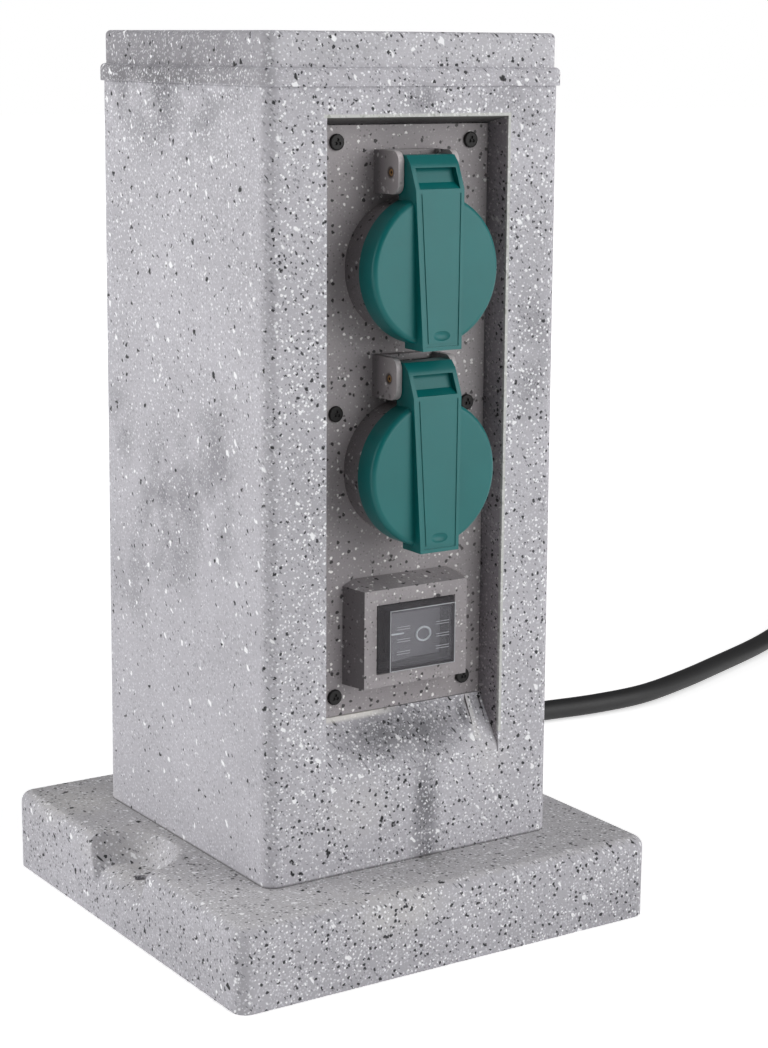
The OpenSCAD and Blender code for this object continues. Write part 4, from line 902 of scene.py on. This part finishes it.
def make_cover():
    levels = list(COVER_LEVELS)
    for i in range(COVER_FRONT, -1, -1):
        half_w, half_h, out = COVER_LEVELS[i]
        levels.append((half_w - COVER_WALL, half_h - COVER_WALL, out - COVER_WALL * (i == COVER_FRONT)))
    bm = bmesh.new()
    loops = [[bm.verts.new(on_switch(x, up, out)) for x, up in cover_corners(w, h)] for w, h, out in levels]
    for i, low in enumerate(loops):
        if i != COVER_FRONT:
            join_loops(bm, low, loops[(i + 1) % len(loops)])
    bm.faces.new(loops[COVER_FRONT])
    bm.faces.new(loops[COVER_FRONT + 1])
    bmesh.ops.recalc_face_normals(bm, faces=bm.faces)
    bevel(bm, [e for e in bm.edges if e.calc_face_angle(0) > COVER_SHARP], COVER_R)
    obj = made_of(bm, "switch_cover_moulding")
    finish_faces(obj)
    keep(obj, "post", "clear")
    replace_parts(obj, "switch_cover")


# Painted highlights: pale wires along the cover's front edge and along the edges of its ribs
def make_cover_highlights():
    w, h, out = COVER_LEVELS[COVER_FRONT]
    rim = [on_switch(x, up, out - EDGE_SUNK) for x, up in cover_corners(w, h)]
    keep(wire("switch_cover_edge_highlight", [rim], EDGE_R * MM, closed=True), "post", "clear", COVER_HIGHLIGHT)
    ribs = []
    for side in (-1, 1):
        for row in (-1, 0, 1):
            for edge in (-0.5, 0.5):
                up = row * RIB_PITCH + edge * RIB_H
                steps = [side * RIB_X + t * RIB_L for t in (-0.5, -0.25, 0, 0.25, 0.5)]
                ribs.append([on_switch(x, up, out + RIB_PROUD) for x in steps])
    keep(wire("switch_cover_rib_highlights", ribs, RIB_R * MM), "post", "clear", COVER_HIGHLIGHT)


def make_marks():
    (x, up), (wide, high) = RING_MIDDLE, RING_RADII
    angles = [math.tau * k / RING_STEPS for k in range(RING_STEPS)]
    ring = [on_switch(x + wide * math.cos(a), up + high * math.sin(a), RING_OUT) for a in angles]
    keep(wire("switch_mark_off", [ring], RING_R * MM, closed=True), "rocker", "dark_plastic", MARK)
    bar = [on_switch(x, BAR_UP - BAR_SLANT * x, BAR_OUT + (BAR_OUT_X - x) * BAR_TILT) for x in BAR_X]
    keep(wire("switch_mark_on", [bar], BAR_R * MM), "rocker", "dark_plastic", MARK)


make_cover()
make_cover_highlights()
make_marks()


# Floor and light
FLOOR_HALF = 9.0
# Distance from the middle in millimetres over which the floor's glow rises, and the glow at its two ends
GLOW_REACH, GLOW = (350, 1500), (0.5, 1.0)
WORLD_STRENGTH = 0.16
# Place, aim, size and power of each lamp, and whether mirrors show it
LAMPS = {
    "left_box": ((-1.65, 0.75, 0.6), (0, 0, 0.15), (1.2, 1.2), 25, True),
    "front_box": ((1.2, -1.85, 0.45), (0, 0, 0.17), (2.0, 1.4), 29, True),
    "brow_box": ((1.15, -1.75, 1.6), (0, 0, 0.25), (2.0, 0.8), 14, True),
    "top_box": ((0.0, -0.1, 2.2), (0, 0, 0), (1.6, 1.6), 10, False),
}


def floor_material():
    n = Nodes("floor_white")
    path = n.tree.nodes.new("ShaderNodeLightPath")
    seen = n.math("MAXIMUM", path.outputs["Is Camera Ray"], path.outputs["Is Glossy Ray"])
    seen = n.math("MAXIMUM", seen, path.outputs["Is Transmission Ray"])
    glow = n.between(n.vector("LENGTH", n.at), *GLOW_REACH, *GLOW, smooth=True)
    mottle = n.noise(n.at, 0.004, 2.0).outputs[0]
    colour = n.mix(mottle, (0.90, 0.90, 0.90, 1), (0.93, 0.93, 0.93, 1))
    return n.set(Base_Color=colour, Roughness=0.9, Specular_IOR_Level=0.0, Emission_Color=(1, 1, 1, 1),
                 Emission_Strength=n.math("MULTIPLY", seen, glow))


def make_floor():
    mesh = bpy.data.meshes.new("floor")
    corners = [(x * FLOOR_HALF, y * FLOOR_HALF, 0) for x, y in ((-1, -1), (1, -1), (1, 1), (-1, 1))]
    mesh.from_pydata(corners, [], [(0, 1, 2, 3)])
    obj = placed("floor", mesh)
    wear(obj, floor_material())


def make_world():
    """White where the camera sees it, and a plain soft light elsewhere."""
    world = bpy.data.worlds.new("studio")
    scene.world = world
    world.use_nodes = True
    tree = world.node_tree
    tree.nodes.clear()
    out = tree.nodes.new("ShaderNodeOutputWorld")
    back = tree.nodes.new("ShaderNodeBackground")
    back.inputs["Color"].default_value = (1, 1, 1, 1)
    path = tree.nodes.new("ShaderNodeLightPath")
    seen = tree.nodes.new("ShaderNodeMath")
    seen.operation = "MAXIMUM"
    level = tree.nodes.new("ShaderNodeMapRange")
    tree.links.new(path.outputs["Is Camera Ray"], seen.inputs[0])
    tree.links.new(path.outputs["Is Transmission Ray"], seen.inputs[1])
    tree.links.new(seen.outputs[0], level.inputs[0])
    level.inputs[3].default_value, level.inputs[4].default_value = WORLD_STRENGTH, 1.0
    tree.links.new(level.outputs[0], back.inputs["Strength"])
    tree.links.new(back.outputs[0], out.inputs[0])


def softbox(name, at, target, size, watts, mirrored):
    data = bpy.data.lights.new(name, "AREA")
    data.shape = "RECTANGLE"
    data.size, data.size_y = size
    data.energy = watts
    obj = placed(name, data)
    obj.visible_camera = False
    obj.visible_glossy = mirrored
    obj.location = at
    obj.rotation_mode = "QUATERNION"
    obj.rotation_quaternion = (Vector(target) - Vector(at)).to_track_quat("-Z", "Y")


make_floor()
make_world()
for name, lamp in LAMPS.items():
    softbox(name, *lamp)
